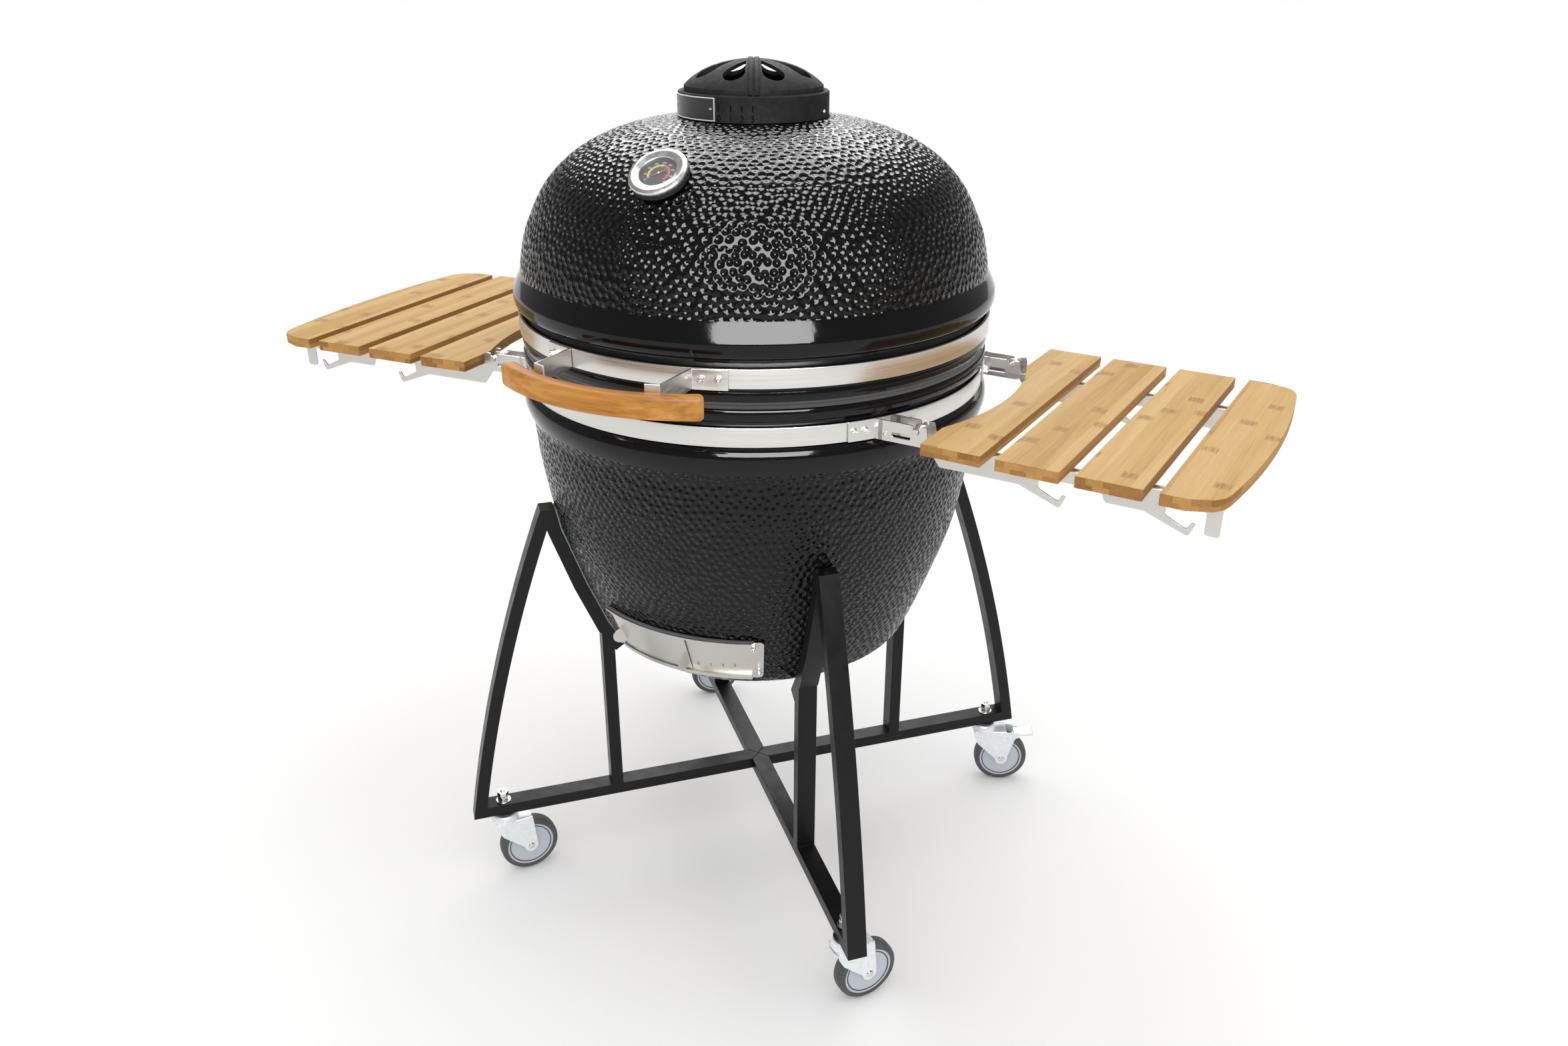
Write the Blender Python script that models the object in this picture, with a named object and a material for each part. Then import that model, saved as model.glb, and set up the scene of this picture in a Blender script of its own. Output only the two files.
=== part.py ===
"""Kamado ceramic grill on a four-legged cart, with two folding bamboo side shelves.

Metres, +Z up. z = 0 is the floor and the Z axis is the bowl's axis. The front, with the handle, the
thermometer and the draft door, faces -Y. An azimuth is an angle round the bowl's axis in degrees, 0 at the
front and positive towards +X. Profiles are lists of (radius, height).
"""

import math

import bmesh
import bpy
from mathutils import Matrix, Vector

# ---------------------------------------------------------------- driving dimensions

TOUCH_GAP = 0.0003                 # between pieces that rest on each other
ROUND_STEPS = 40                   # facets round the ceramic body and its bands

BOWL_OUTER = [
    (0.2240, 0.4460), (0.2400, 0.4530), (0.2544, 0.4700), (0.2867, 0.5500), (0.3201, 0.6500),
    (0.3385, 0.7500), (0.3425, 0.7900), (0.3455, 0.8250), (0.3520, 0.8380), (0.3565, 0.8560),
    (0.3555, 0.8680), (0.3500, 0.8740), (0.3460, 0.8765), (0.3460, 0.9110), (0.3520, 0.9145),
    (0.3520, 0.9300),
]
BOWL_INNER = [
    (0.3220, 0.9300), (0.3220, 0.8500), (0.3185, 0.8000), (0.3150, 0.7550), (0.2975, 0.6580),
    (0.2642, 0.5580), (0.2345, 0.4830), (0.2235, 0.4730),
]
# The curve the cart's saddles follow: the bowl's side, carried on down past its foot.
CRADLE = [
    (0.2034, 0.4100), (0.2544, 0.4700), (0.2867, 0.5500), (0.3201, 0.6500), (0.3385, 0.7500),
]
DOME_OUTER = [
    (0.3520, 0.9410), (0.3520, 0.9520), (0.3505, 0.9550), (0.3505, 0.9965), (0.3570, 0.9985),
    (0.3602, 1.0080), (0.3602, 1.0220), (0.3570, 1.0340), (0.3485, 1.0420), (0.3464, 1.0560),
    (0.3311, 1.1130), (0.3098, 1.1550), (0.2826, 1.1870), (0.2497, 1.2120), (0.2110, 1.2310),
    (0.1663, 1.2450), (0.1147, 1.2540),
]
DOME_INNER = [
    (0.0755, 1.2540), (0.0755, 1.2335), (0.1135, 1.2320), (0.1620, 1.2225), (0.2030, 1.2100),
    (0.2370, 1.1925), (0.2650, 1.1700), (0.2905, 1.1395), (0.3100, 1.1040), (0.3255, 1.0500),
    (0.3220, 0.9900), (0.3220, 0.9410),
]
BASE_BAND = (0.3465, 0.3490, 0.8773, 0.9045)      # inner radius, outer radius, bottom, top
LID_BAND = (0.3510, 0.3550, 0.9596, 0.9859)
BASE_GASKET = (0.3270, 0.3495, 0.9303, 0.9355)
LID_GASKET = (0.3270, 0.3495, 0.9363, 0.9407)

FIRE_BOX = [
    (0.1900, 0.4735), (0.2130, 0.4790), (0.2260, 0.4870), (0.2520, 0.5600), (0.2720, 0.6600),
    (0.2820, 0.7400), (0.2620, 0.7400), (0.2520, 0.6600), (0.2320, 0.5750), (0.2150, 0.5505),
    (0.1900, 0.5505), (0.1900, 0.5300), (0.1760, 0.4960), (0.1700, 0.4735),
]
FIRE_RING = [
    (0.2830, 0.7403), (0.3000, 0.8000), (0.3050, 0.8850), (0.2850, 0.8850), (0.2800, 0.8000),
    (0.2630, 0.7403),
]
CHARCOAL_GRATE = (0.2110, 0.5508, 0.5588)          # radius, bottom, top
COOKING_GRATE = (0.3000, 0.8855, 0.8925)

ARM_ANGLES = {"front_left": 225.0, "front_right": 315.0, "back_right": 45.0, "back_left": 135.0}
TUBE_WIDTH = 0.030                 # of the cart tube, across the frame
TUBE_DEPTH = 0.020                 # of the cart tube, in the frame's plane
BEAM_BOTTOM = 0.130
FRAME_REACH = 0.507                # radius of the foot of the leg
FRAME_TOP = 0.685
LEG_TOP_RADIUS = 0.352
LEG_BULGE = 0.0147                 # how far the leg's outer edge bows out of a straight line
POST_OUTER_RADIUS = 0.270
SADDLE_GAP = 0.0035                # between the bowl and the saddle tube, filled by the pad
PAD_LAYER = (0.0004, 0.0032)       # the felt pad's distance from the bowl, inside and outside
SADDLE_TAIL = [(0.2320, 0.4290), (0.2485, 0.4175), (0.2500, 0.4200)]

CASTER_RADIUS = 0.455              # of the stem from the bowl's axis
CASTER_TRAIL = 0.036               # stem axis to wheel axle
CASTER_HEADINGS = {"front_left": 55.0, "front_right": 55.0, "back_right": 26.0, "back_left": 40.0}
BRAKED = ("back_right", "back_left")
WHEEL_RADIUS = 0.050
WHEEL_PROFILE = [(0.0046, 0.0130), (0.0400, 0.0125), (0.0455, 0.0125), (0.0500, 0.0080)]
FORK_INNER, FORK_OUTER = 0.0145, 0.0170            # the fork's cheeks, from the wheel's middle
BRAKE_PIVOT = (0.062, 0.1015)      # along the trail, and height

HINGE_Y, HINGE_Z = 0.405, 0.936
ANCHOR_Y, ANCHOR_Z = 0.4432, 0.9598
REAR_EDGE = 0.459
SPRING_RADIUS = 0.011
SPRING_X = 0.030
PIN_RADIUS, PIN_HOLE = 0.0040, 0.0044

HANDLE_CENTRE_Y = -0.1581
HANDLE_RADII = (0.2789, 0.3009)
HANDLE_HEIGHTS = (0.946, 0.977)
HANDLE_HALF_ANGLE = 31.0
STRAP_X = 0.0942

VENT_PROFILE = [
    (0.0000, 1.2880), (0.1000, 1.2880), (0.1005, 1.2890), (0.1080, 1.2890), (0.1080, 1.2545),
    (0.0735, 1.2545), (0.0735, 1.2320), (0.0690, 1.2320), (0.0690, 1.2585), (0.1000, 1.2585),
    (0.1000, 1.2840), (0.0000, 1.2840),
]
CAP_PROFILE = [
    (0.0000, 1.3310), (0.0300, 1.3285), (0.0600, 1.3205), (0.0850, 1.3080), (0.0960, 1.2985),
    (0.0995, 1.2965), (0.0995, 1.2893), (0.0950, 1.2893), (0.0930, 1.2950), (0.0820, 1.3045),
    (0.0580, 1.3165), (0.0300, 1.3245), (0.0000, 1.3270),
]
PETALS = 8
RIB_AZIMUTH = 28.5
CAP_PETAL_RADIUS, PLATE_PETAL_RADIUS = 0.0155, 0.0066

DIAL_AZIMUTH = 1.8                 # of the thermometer, in degrees to the right of the front
DIAL_RADIUS, DIAL_HEIGHT = 0.2640, 1.2011          # where its axis meets the dome
DIAL_TILT = 36.0                   # of that axis from upright, in degrees
CASE_PROFILE = [
    (0.0000, -0.0550), (0.0030, -0.0550), (0.0030, 0.0010), (0.0380, 0.0010), (0.0395, 0.0030),
    (0.0395, 0.0100), (0.0405, 0.0110), (0.0405, 0.0140), (0.0360, 0.0165), (0.0265, 0.0155),
    (0.0262, 0.0090), (0.0000, 0.0090),
]
NEEDLE_HEADING = 235.0             # of the pointer at rest, turning right from straight up the dial

DRAFT_HEIGHTS = [0.4705, 0.4860, 0.5360, 0.5495]
DRAFT_COLUMNS = [-24.0, -17.5, -12.5, -8.0, -3.5, 1.5, 6.0, 11.0, 16.0, 21.0, 26.0, 30.5]
DRAFT_WINDOW = (-17.5, 1.5, 0.4860, 0.5360)        # azimuths and heights
DOOR_COLUMNS = [-22.0, -17.3, -12.6, -7.9, -3.2, 1.5, 6.5]
DOOR_HEIGHTS = [0.4785, 0.5450]

SHELF_SPLAY = 3.5                  # each shelf points this far forward of the X axis, in degrees
SLAT_TOP, SLAT_THICKNESS = 0.900, 0.016
SLAT_EDGES = [(0.385, 0.467), (0.486, 0.568), (0.587, 0.669), (0.688, 0.755)]
SHELF_Y = (-0.225, 0.265)
SHELF_RELIEF = 0.415               # radius of the hollow in the inner slat, about the bowl's axis
SHELF_CROWN = 0.020                # how far the outer slat bows out
MOUNT_Y = 0.169
MOUNT_HALF_GAP = 0.013
MOUNT_HEIGHTS = (0.8775, 0.9055)
MOUNT_REACH = 0.378
MOUNT_FLANGE_RADIUS = 0.3508
PIVOT_X, PIVOT_Z = 0.3605, 0.8978
ARM_OUTLINE = [
    (0.3535, 0.9045), (0.3670, 0.9045), (0.3720, 0.8837), (0.7520, 0.8837), (0.7520, 0.8370),
    (0.7490, 0.8350), (0.7370, 0.8350), (0.7340, 0.8370), (0.7340, 0.8650), (0.6860, 0.8650),
    (0.6860, 0.8505), (0.7125, 0.8380), (0.7185, 0.8475), (0.7230, 0.8460), (0.7160, 0.8290),
    (0.6600, 0.8500), (0.6120, 0.8500), (0.6060, 0.8650), (0.5260, 0.8650), (0.5260, 0.8505),
    (0.5525, 0.8380), (0.5585, 0.8475), (0.5630, 0.8460), (0.5560, 0.8290), (0.5000, 0.8500), (0.3905, 0.8500), (0.3605, 0.8895), (0.3535, 0.8915),
]

# ---------------------------------------------------------------- materials

MATERIALS = {                      # base colour, roughness, metallic
    "black_ceramic": ((0.010, 0.010, 0.011), 0.18, 0.0),
    "fired_clay": ((0.45, 0.36, 0.28), 0.85, 0.0),
    "steel": ((0.62, 0.61, 0.59), 0.30, 1.0),
    "zinc": ((0.70, 0.71, 0.72), 0.35, 1.0),
    "black_paint": ((0.012, 0.012, 0.013), 0.45, 0.0),
    "cast_black": ((0.030, 0.030, 0.030), 0.60, 0.2),
    "felt": ((0.30, 0.33, 0.37), 0.95, 0.0),
    "gasket": ((0.06, 0.06, 0.06), 0.95, 0.0),
    "bamboo": ((0.70, 0.45, 0.22), 0.45, 0.0),
    "hardwood": ((0.42, 0.19, 0.08), 0.40, 0.0),
    "rubber": ((0.06, 0.06, 0.065), 0.70, 0.0),
    "glass": ((0.95, 0.95, 0.95), 0.02, 0.0),
    "dial_black": ((0.03, 0.03, 0.03), 0.50, 0.0),
    "needle_red": ((0.60, 0.03, 0.02), 0.40, 0.0),
}


def material(name):
    found = bpy.data.materials.get(name)
    if found:
        return found
    colour, roughness, metallic = MATERIALS[name]
    made = bpy.data.materials.new(name)
    made.use_nodes = True
    shader = made.node_tree.nodes["Principled BSDF"]
    shader.inputs["Base Color"].default_value = (*colour, 1.0)
    shader.inputs["Roughness"].default_value = roughness
    shader.inputs["Metallic"].default_value = metallic
    return made


# ---------------------------------------------------------------- shape helpers

def mesh_from(bm, name):
    bmesh.ops.recalc_face_normals(bm, faces=bm.faces)
    mesh = bpy.data.meshes.new(name)
    bm.to_mesh(mesh)
    bm.free()
    return mesh


def turned(profile, steps=ROUND_STEPS, on_axis=False):
    """A profile spun once round Z. A profile that starts and ends on the axis has on_axis set."""
    bm = bmesh.new()
    points = [bm.verts.new((0.0, -radius, height)) for radius, height in profile]
    edges = [bm.edges.new(pair) for pair in zip(points, points[1:])]
    if not on_axis:
        edges.append(bm.edges.new((points[-1], points[0])))
    bmesh.ops.spin(
        bm, geom=points + edges, cent=(0, 0, 0), axis=(0, 0, 1), angle=math.tau, steps=steps,
        use_merge=True, use_normal_flip=False, use_duplicate=False,
    )
    bmesh.ops.remove_doubles(bm, verts=bm.verts, dist=1e-6)
    bmesh.ops.dissolve_degenerate(bm, dist=1e-7, edges=bm.edges)
    return mesh_from(bm, "turned")


def plate(loops, low, high):
    """Outlines in the XY plane, the first the outer one and the others holes, made solid from low to high."""
    bm = bmesh.new()
    edges = []
    for loop in loops:
        points = [bm.verts.new((x, y, low)) for x, y in loop]
        edges += [bm.edges.new((points[i - 1], points[i])) for i in range(len(points))]
    filled = bmesh.ops.triangle_fill(bm, use_beauty=True, edges=edges)
    faces = [piece for piece in filled["geom"] if isinstance(piece, bmesh.types.BMFace)]
    raised = bmesh.ops.extrude_face_region(bm, geom=faces)
    points = [piece for piece in raised["geom"] if isinstance(piece, bmesh.types.BMVert)]
    bmesh.ops.translate(bm, vec=(0, 0, high - low), verts=points)
    return mesh_from(bm, "plate")


def box(low, high):
    bm = bmesh.new()
    bmesh.ops.create_cube(bm, size=1.0)
    low, high = Vector(low), Vector(high)
    middle = (low + high) / 2
    for vert in bm.verts:
        vert.co = middle + Vector(a * b for a, b in zip(vert.co, high - low))
    return mesh_from(bm, "box")


def circle(radius, steps, centre=(0.0, 0.0)):
    turns = [math.tau * i / steps for i in range(steps)]
    return [(centre[0] + radius * math.cos(t), centre[1] + radius * math.sin(t)) for t in turns]


def moved(mesh, matrix):
    mesh.transform(matrix)
    return mesh


# Takes a plate's X, Y and thickness to X, Z and -Y: an outline drawn in (x, height).
UPRIGHT_ALONG_X = Matrix.Rotation(math.radians(90), 4, "X")
# Takes them to Y, Z and X: an outline drawn in (y, height).
UPRIGHT_ALONG_Y = Matrix(((0, 0, 1, 0), (1, 0, 0, 0), (0, 1, 0, 0), (0, 0, 0, 1)))


def rod(start, end, radius, steps=12):
    """A straight round bar between two points."""
    start, end = Vector(start), Vector(end)
    mesh = plate([circle(radius, steps)], 0.0, (end - start).length)
    turn = Vector((0, 0, 1)).rotation_difference(end - start).to_matrix().to_4x4()
    return moved(mesh, Matrix.Translation(start) @ turn)


def combined(first, others, operation):
    """The first mesh with the others cut from it or joined to it."""
    body = bpy.data.objects.new("body", first)
    bpy.context.scene.collection.objects.link(body)
    helpers = []
    for other in others:
        helper = bpy.data.objects.new("helper", other)
        helper.hide_render = True
        helper.display_type = "WIRE"
        bpy.context.scene.collection.objects.link(helper)
        helpers.append(helper)
        step = body.modifiers.new("step", "BOOLEAN")
        step.operation = operation
        step.solver = "EXACT"
        step.object = helper
    bpy.context.view_layer.update()
    graph = bpy.context.evaluated_depsgraph_get()
    result = bpy.data.meshes.new_from_object(body.evaluated_get(graph))
    for used in [body, *helpers]:
        bpy.data.objects.remove(used)
    return result


def cut(first, *cutters):
    return combined(first, cutters, "DIFFERENCE")


def joined(first, *others):
    return combined(first, others, "UNION")


def piece(name, mesh, look, pivot=(0, 0, 0), turn=0.0, sharp=30.0):
    """An object whose mesh is drawn about its pivot, turned about Z by turn degrees."""
    obj = bpy.data.objects.new(name, mesh)
    obj.location = pivot
    obj.rotation_euler.z = math.radians(turn)
    mesh.materials.clear()
    mesh.materials.append(material(look))
    mesh.shade_smooth()
    mesh.set_sharp_from_angle(angle=math.radians(sharp))
    bpy.context.scene.collection.objects.link(obj)
    return obj


def world_piece(name, mesh, look, pivot=(0, 0, 0)):
    """An object whose mesh is drawn in world coordinates, with its origin put at the pivot."""
    moved(mesh, Matrix.Translation(-Vector(pivot)))
    return piece(name, mesh, look, pivot)


def offset_path(path, distance):
    """The path moved to its right by distance, with mitred corners."""
    moved_path = []
    for i, point in enumerate(path):
        sides = []
        for a, b in ((i - 1, i), (i, i + 1)):
            if a >= 0 and b < len(path):
                along = (Vector(path[b]) - Vector(path[a])).normalized()
                sides.append(Vector((along.y, -along.x)))
        normal = sum(sides, Vector((0, 0))).normalized()
        moved_path.append(tuple(Vector(point) + normal * distance / normal.dot(sides[0])))
    return moved_path


def ribbon(path, thickness):
    """The outline of a strip of sheet whose middle follows the path."""
    right = offset_path(path, thickness / 2)
    left = offset_path(path, -thickness / 2)
    return right + left[::-1]


def radius_at(profile, height):
    """The radius of a profile whose heights rise from point to point."""
    for (r0, z0), (r1, z1) in zip(profile, profile[1:]):
        if z0 <= height <= z1:
            return r0 + (r1 - r0) * (height - z0) / (z1 - z0)
    raise ValueError(height)


def stretch(profile, bottom, top):
    """The part of a rising profile between two heights, bottom first."""
    middle = [(radius, height) for radius, height in profile if bottom < height < top]
    return [(radius_at(profile, bottom), bottom), *middle, (radius_at(profile, top), top)]


def polar(radius, azimuth, height):
    angle = math.radians(azimuth)
    return Vector((radius * math.sin(angle), -radius * math.cos(angle), height))


def arc_xy(radius, start, end, steps):
    """Points on a circle about the origin between two angles from +X, in degrees."""
    angles = [math.radians(start + (end - start) * i / steps) for i in range(steps + 1)]
    return [(radius * math.cos(a), radius * math.sin(a)) for a in angles]


def wrapped_plate(azimuths, heights, near, far, missing=()):
    """A plate that follows the bowl, from near to far outside it. missing lists cells left open."""
    bm = bmesh.new()
    points = {}

    def point(i, j, layer):
        if (i, j, layer) not in points:
            radius = radius_at(BOWL_OUTER, heights[j]) + layer
            points[i, j, layer] = bm.verts.new(polar(radius, azimuths[i], heights[j]))
        return points[i, j, layer]

    cells = {(i, j) for i in range(len(azimuths) - 1) for j in range(len(heights) - 1)} - set(missing)
    for i, j in cells:
        corners = [(i, j), (i + 1, j), (i + 1, j + 1), (i, j + 1)]
        bm.faces.new([point(*corner, far) for corner in corners])
        bm.faces.new([point(*corner, near) for corner in corners[::-1]])
        neighbours = [(i, j - 1), (i + 1, j), (i, j + 1), (i - 1, j)]
        for side, neighbour in enumerate(neighbours):
            if neighbour not in cells:
                a, b = corners[side], corners[(side + 1) % 4]
                bm.faces.new([point(*a, near), point(*b, near), point(*b, far), point(*a, far)])
    return mesh_from(bm, "wrapped_plate")


def ring(size):
    inner, outer, bottom, top = size
    return turned([(outer, bottom), (outer, top), (inner, top), (inner, bottom)])


# ---------------------------------------------------------------- ceramic body

def build_body():
    west, east, floor, ceiling = DRAFT_WINDOW
    columns = [west, (2 * west + east) / 3, (west + 2 * east) / 3, east]
    tunnel = wrapped_plate(columns, [floor, ceiling], -0.060, 0.020)
    bowl_profile = [(0.0, BOWL_OUTER[0][1]), *BOWL_OUTER, *BOWL_INNER, (0.0, BOWL_INNER[-1][1])]
    world_piece("base_bowl", cut(turned(bowl_profile, on_axis=True), tunnel), "black_ceramic")
    world_piece("base_gasket", ring(BASE_GASKET), "gasket")
    world_piece("base_band", ring(BASE_BAND), "steel")

    air_slot = wrapped_plate(columns, [0.465, 0.520], -0.120, -0.015)
    world_piece("fire_box", cut(turned(FIRE_BOX, 32), air_slot), "fired_clay")
    world_piece("fire_ring", turned(FIRE_RING, 32), "fired_clay")


def grate_mesh(radius, bottom, top, rim, bars, bar_width, drop):
    """A round grate: a flat rim, bars across it and one tie bar under them."""
    rim_mesh = plate([circle(radius, 32), circle(radius - rim, 32)], bottom, top)
    pieces = []
    middle = (bottom + top) / 2
    for i in range(bars):
        x = (2 * (i + 1) / (bars + 1) - 1) * (radius - rim)
        half = math.sqrt((radius - rim / 2) ** 2 - x * x)
        low = (x - bar_width / 2, -half, middle - drop)
        pieces.append(box(low, (x + bar_width / 2, half, top - drop)))
    reach = radius - rim / 2
    pieces.append(box((-reach, -bar_width / 2, bottom + drop / 2), (reach, bar_width / 2, middle)))
    return joined(rim_mesh, *pieces)


def build_grates():
    radius, bottom, top = CHARCOAL_GRATE
    world_piece("charcoal_grate", grate_mesh(radius, bottom, top, 0.024, 7, 0.012, 0.001), "cast_black")
    radius, bottom, top = COOKING_GRATE
    world_piece("cooking_grate", grate_mesh(radius, bottom, top, 0.008, 13, 0.005, 0.0006), "steel")


def build_draft():
    window_rows = 1
    missing = [(i, window_rows) for i in range(1, 5)]
    sheet = wrapped_plate(DRAFT_COLUMNS, DRAFT_HEIGHTS, 0.0008, 0.0038, missing)
    bottom, top = DRAFT_HEIGHTS[0], DRAFT_HEIGHTS[-1]
    low_rail = wrapped_plate(DRAFT_COLUMNS, [bottom, DOOR_HEIGHTS[0] - 0.0008], 0.0028, 0.0085)
    high_rail = wrapped_plate(DRAFT_COLUMNS, [DOOR_HEIGHTS[1] + 0.0008, top], 0.0028, 0.0085)
    world_piece("draft_frame", joined(sheet, low_rail, high_rail), "steel")

    door = wrapped_plate(DOOR_COLUMNS, DOOR_HEIGHTS, 0.0043, 0.0070)
    tabs = []
    for azimuth, height in ((-20.8, 0.5030), (5.3, 0.4980)):
        tab = box((0.0, -0.0015, -0.011), (0.018, 0.0015, 0.011))
        base = polar(radius_at(BOWL_OUTER, height) + 0.0055, azimuth, height)
        turn = Matrix.Rotation(math.radians(azimuth - 90), 4, "Z")
        lean = Matrix.Rotation(math.radians(22), 4, "Y")       # square to the bowl's slope
        tabs.append(moved(tab, Matrix.Translation(base) @ turn @ lean))
    world_piece("draft_door", joined(door, *tabs), "steel")


# ---------------------------------------------------------------- cart

def build_cart():
    foot, head = Vector((FRAME_REACH, BEAM_BOTTOM)), Vector((LEG_TOP_RADIUS, FRAME_TOP))
    chord = head - foot
    bow = chord.length ** 2 / (8 * LEG_BULGE) + LEG_BULGE / 2
    outward = Vector((chord.y, -chord.x)).normalized()
    centre = (foot + head) / 2 - outward * (bow - LEG_BULGE)

    def leg(height, depth=0.0):
        """The leg's radius at a height, depth inside its outer edge."""
        return centre.x + math.sqrt((bow - depth) ** 2 - (height - centre.y) ** 2)

    saddle_inner = offset_path(CRADLE, SADDLE_GAP)
    saddle_outer = offset_path(CRADLE, SADDLE_GAP + TUBE_DEPTH)

    apex_low, apex_high = 0.60, 0.68
    for _ in range(40):
        apex = (apex_low + apex_high) / 2
        if leg(apex, TUBE_DEPTH) > radius_at(saddle_outer, apex):
            apex_low = apex
        else:
            apex_high = apex

    post_top = next(z / 1e4 for z in range(4300, 5200) if radius_at(saddle_outer, z / 1e4) > POST_OUTER_RADIUS)
    beam_top = BEAM_BOTTOM + TUBE_DEPTH
    post_inner = POST_OUTER_RADIUS - TUBE_DEPTH
    rise = FRAME_TOP - BEAM_BOTTOM
    outline = [(0.0, BEAM_BOTTOM), tuple(foot)]
    outline += [(leg(BEAM_BOTTOM + rise * i / 7), BEAM_BOTTOM + rise * i / 7) for i in range(1, 7)]
    outline.append(tuple(head))
    outline += stretch(saddle_inner, 0.472, FRAME_TOP)[::-1]
    outline += SADDLE_TAIL
    outline += [(post_inner, beam_top), (0.0, beam_top)]
    opening = [(POST_OUTER_RADIUS, beam_top), (leg(beam_top, TUBE_DEPTH), beam_top)]
    opening += [(leg(z, TUBE_DEPTH), z) for z in (0.23, 0.31, 0.39, 0.47, 0.55, 0.61)]
    opening.append((leg(apex, TUBE_DEPTH), apex))
    opening += stretch(saddle_outer, post_top, apex)[-2::-1]
    half = TUBE_WIDTH / 2
    frame = moved(plate([outline, opening], -half, half), UPRIGHT_ALONG_X)

    bm = bmesh.new()
    bm.from_mesh(frame)
    for side in (1, -1):
        sliced = bmesh.ops.bisect_plane(
            bm, geom=bm.verts[:] + bm.edges[:] + bm.faces[:], plane_co=(0.0003, 0, 0),
            plane_no=(-1, side, 0), clear_outer=True,
        )
        rim = [e for e in sliced["geom_cut"] if isinstance(e, bmesh.types.BMEdge)]
        bmesh.ops.holes_fill(bm, edges=rim, sides=0)
    mitred = mesh_from(bm, "cart_frame")
    nut = moved(
        plate([circle(0.0098, 6)], beam_top - 0.003, beam_top + 0.0085),
        Matrix.Translation((CASTER_RADIUS, 0, 0)),
    )
    frame = joined(mitred, nut)

    near, far = (stretch(offset_path(CRADLE, layer), 0.473, FRAME_TOP - 0.002) for layer in PAD_LAYER)
    pad_outline = near + far[::-1]
    pad = moved(plate([pad_outline], -0.012, 0.012), UPRIGHT_ALONG_X)

    for corner, angle in ARM_ANGLES.items():
        piece(f"cart_frame_{corner}", frame, "black_paint", turn=angle)
        piece(f"saddle_pad_{corner}", pad, "felt", turn=angle)


def fork_mesh(braked):
    trail, axle = CASTER_TRAIL, WHEEL_RADIUS
    back = [(0.0680, 0.1100), (0.0700, 0.0990), (0.0620, 0.0960)] if braked else [(0.0440, 0.1080)]
    outline = [(-0.0210, 0.1120), *back, (trail + 0.0125, 0.0560)]
    outline += [(trail + 0.012 * math.cos(a), axle + 0.012 * math.sin(a)) for a in
                (math.radians(d) for d in (0, -45, -90, -135, -180))]
    outline += [(-0.0140, 0.0850), (-0.0210, 0.1000)]
    near = moved(plate([outline], FORK_INNER, FORK_OUTER), UPRIGHT_ALONG_X)
    far = moved(plate([outline], -FORK_OUTER, -FORK_INNER), UPRIGHT_ALONG_X)
    crown = box((-0.0208, -FORK_OUTER + 0.0004, 0.1080), (0.0400, FORK_OUTER - 0.0004, 0.1118))
    housing = plate([circle(0.0200, 16)], 0.1100, BEAM_BOTTOM - 0.0005)
    spindle = rod((trail, -0.0200, axle), (trail, 0.0200, axle), 0.0040, 10)
    return joined(crown, near, far, housing, spindle)


def build_casters():
    profile = WHEEL_PROFILE + [(radius, -width) for radius, width in reversed(WHEEL_PROFILE)]
    wheel = moved(turned(profile, 20), UPRIGHT_ALONG_X)
    forks = {braked: fork_mesh(braked) for braked in (True, False)}
    pivot_x, pivot_z = BRAKE_PIVOT
    pedal_outline = [
        (-0.0040, 0.0025), (-0.0040, -0.0025), (0.0100, -0.0018), (0.0320, -0.0005), (0.0330, 0.0030),
        (0.0310, 0.0045), (0.0100, 0.0025),
    ]
    lever = moved(plate([pedal_outline], -0.0120, 0.0120), UPRIGHT_ALONG_X)
    pedal = joined(lever, rod((0, -0.0141, 0), (0, 0.0141, 0), 0.0024, 8))
    for corner, angle in ARM_ANGLES.items():
        stem = Vector((CASTER_RADIUS * math.cos(math.radians(angle)),
                       CASTER_RADIUS * math.sin(math.radians(angle)), 0.0))
        heading = CASTER_HEADINGS[corner]
        turn = Matrix.Rotation(math.radians(heading), 4, "Z")
        braked = corner in BRAKED
        piece(f"caster_fork_{corner}", forks[braked], "zinc", stem, heading)
        hub = stem + turn @ Vector((CASTER_TRAIL, 0, WHEEL_RADIUS))
        piece(f"caster_wheel_{corner}", wheel, "rubber", hub, heading)
        if braked:
            pivot = stem + turn @ Vector((pivot_x, 0, pivot_z))
            piece(f"caster_brake_{corner}", pedal, "zinc", pivot, heading)


# ---------------------------------------------------------------- lid

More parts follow.
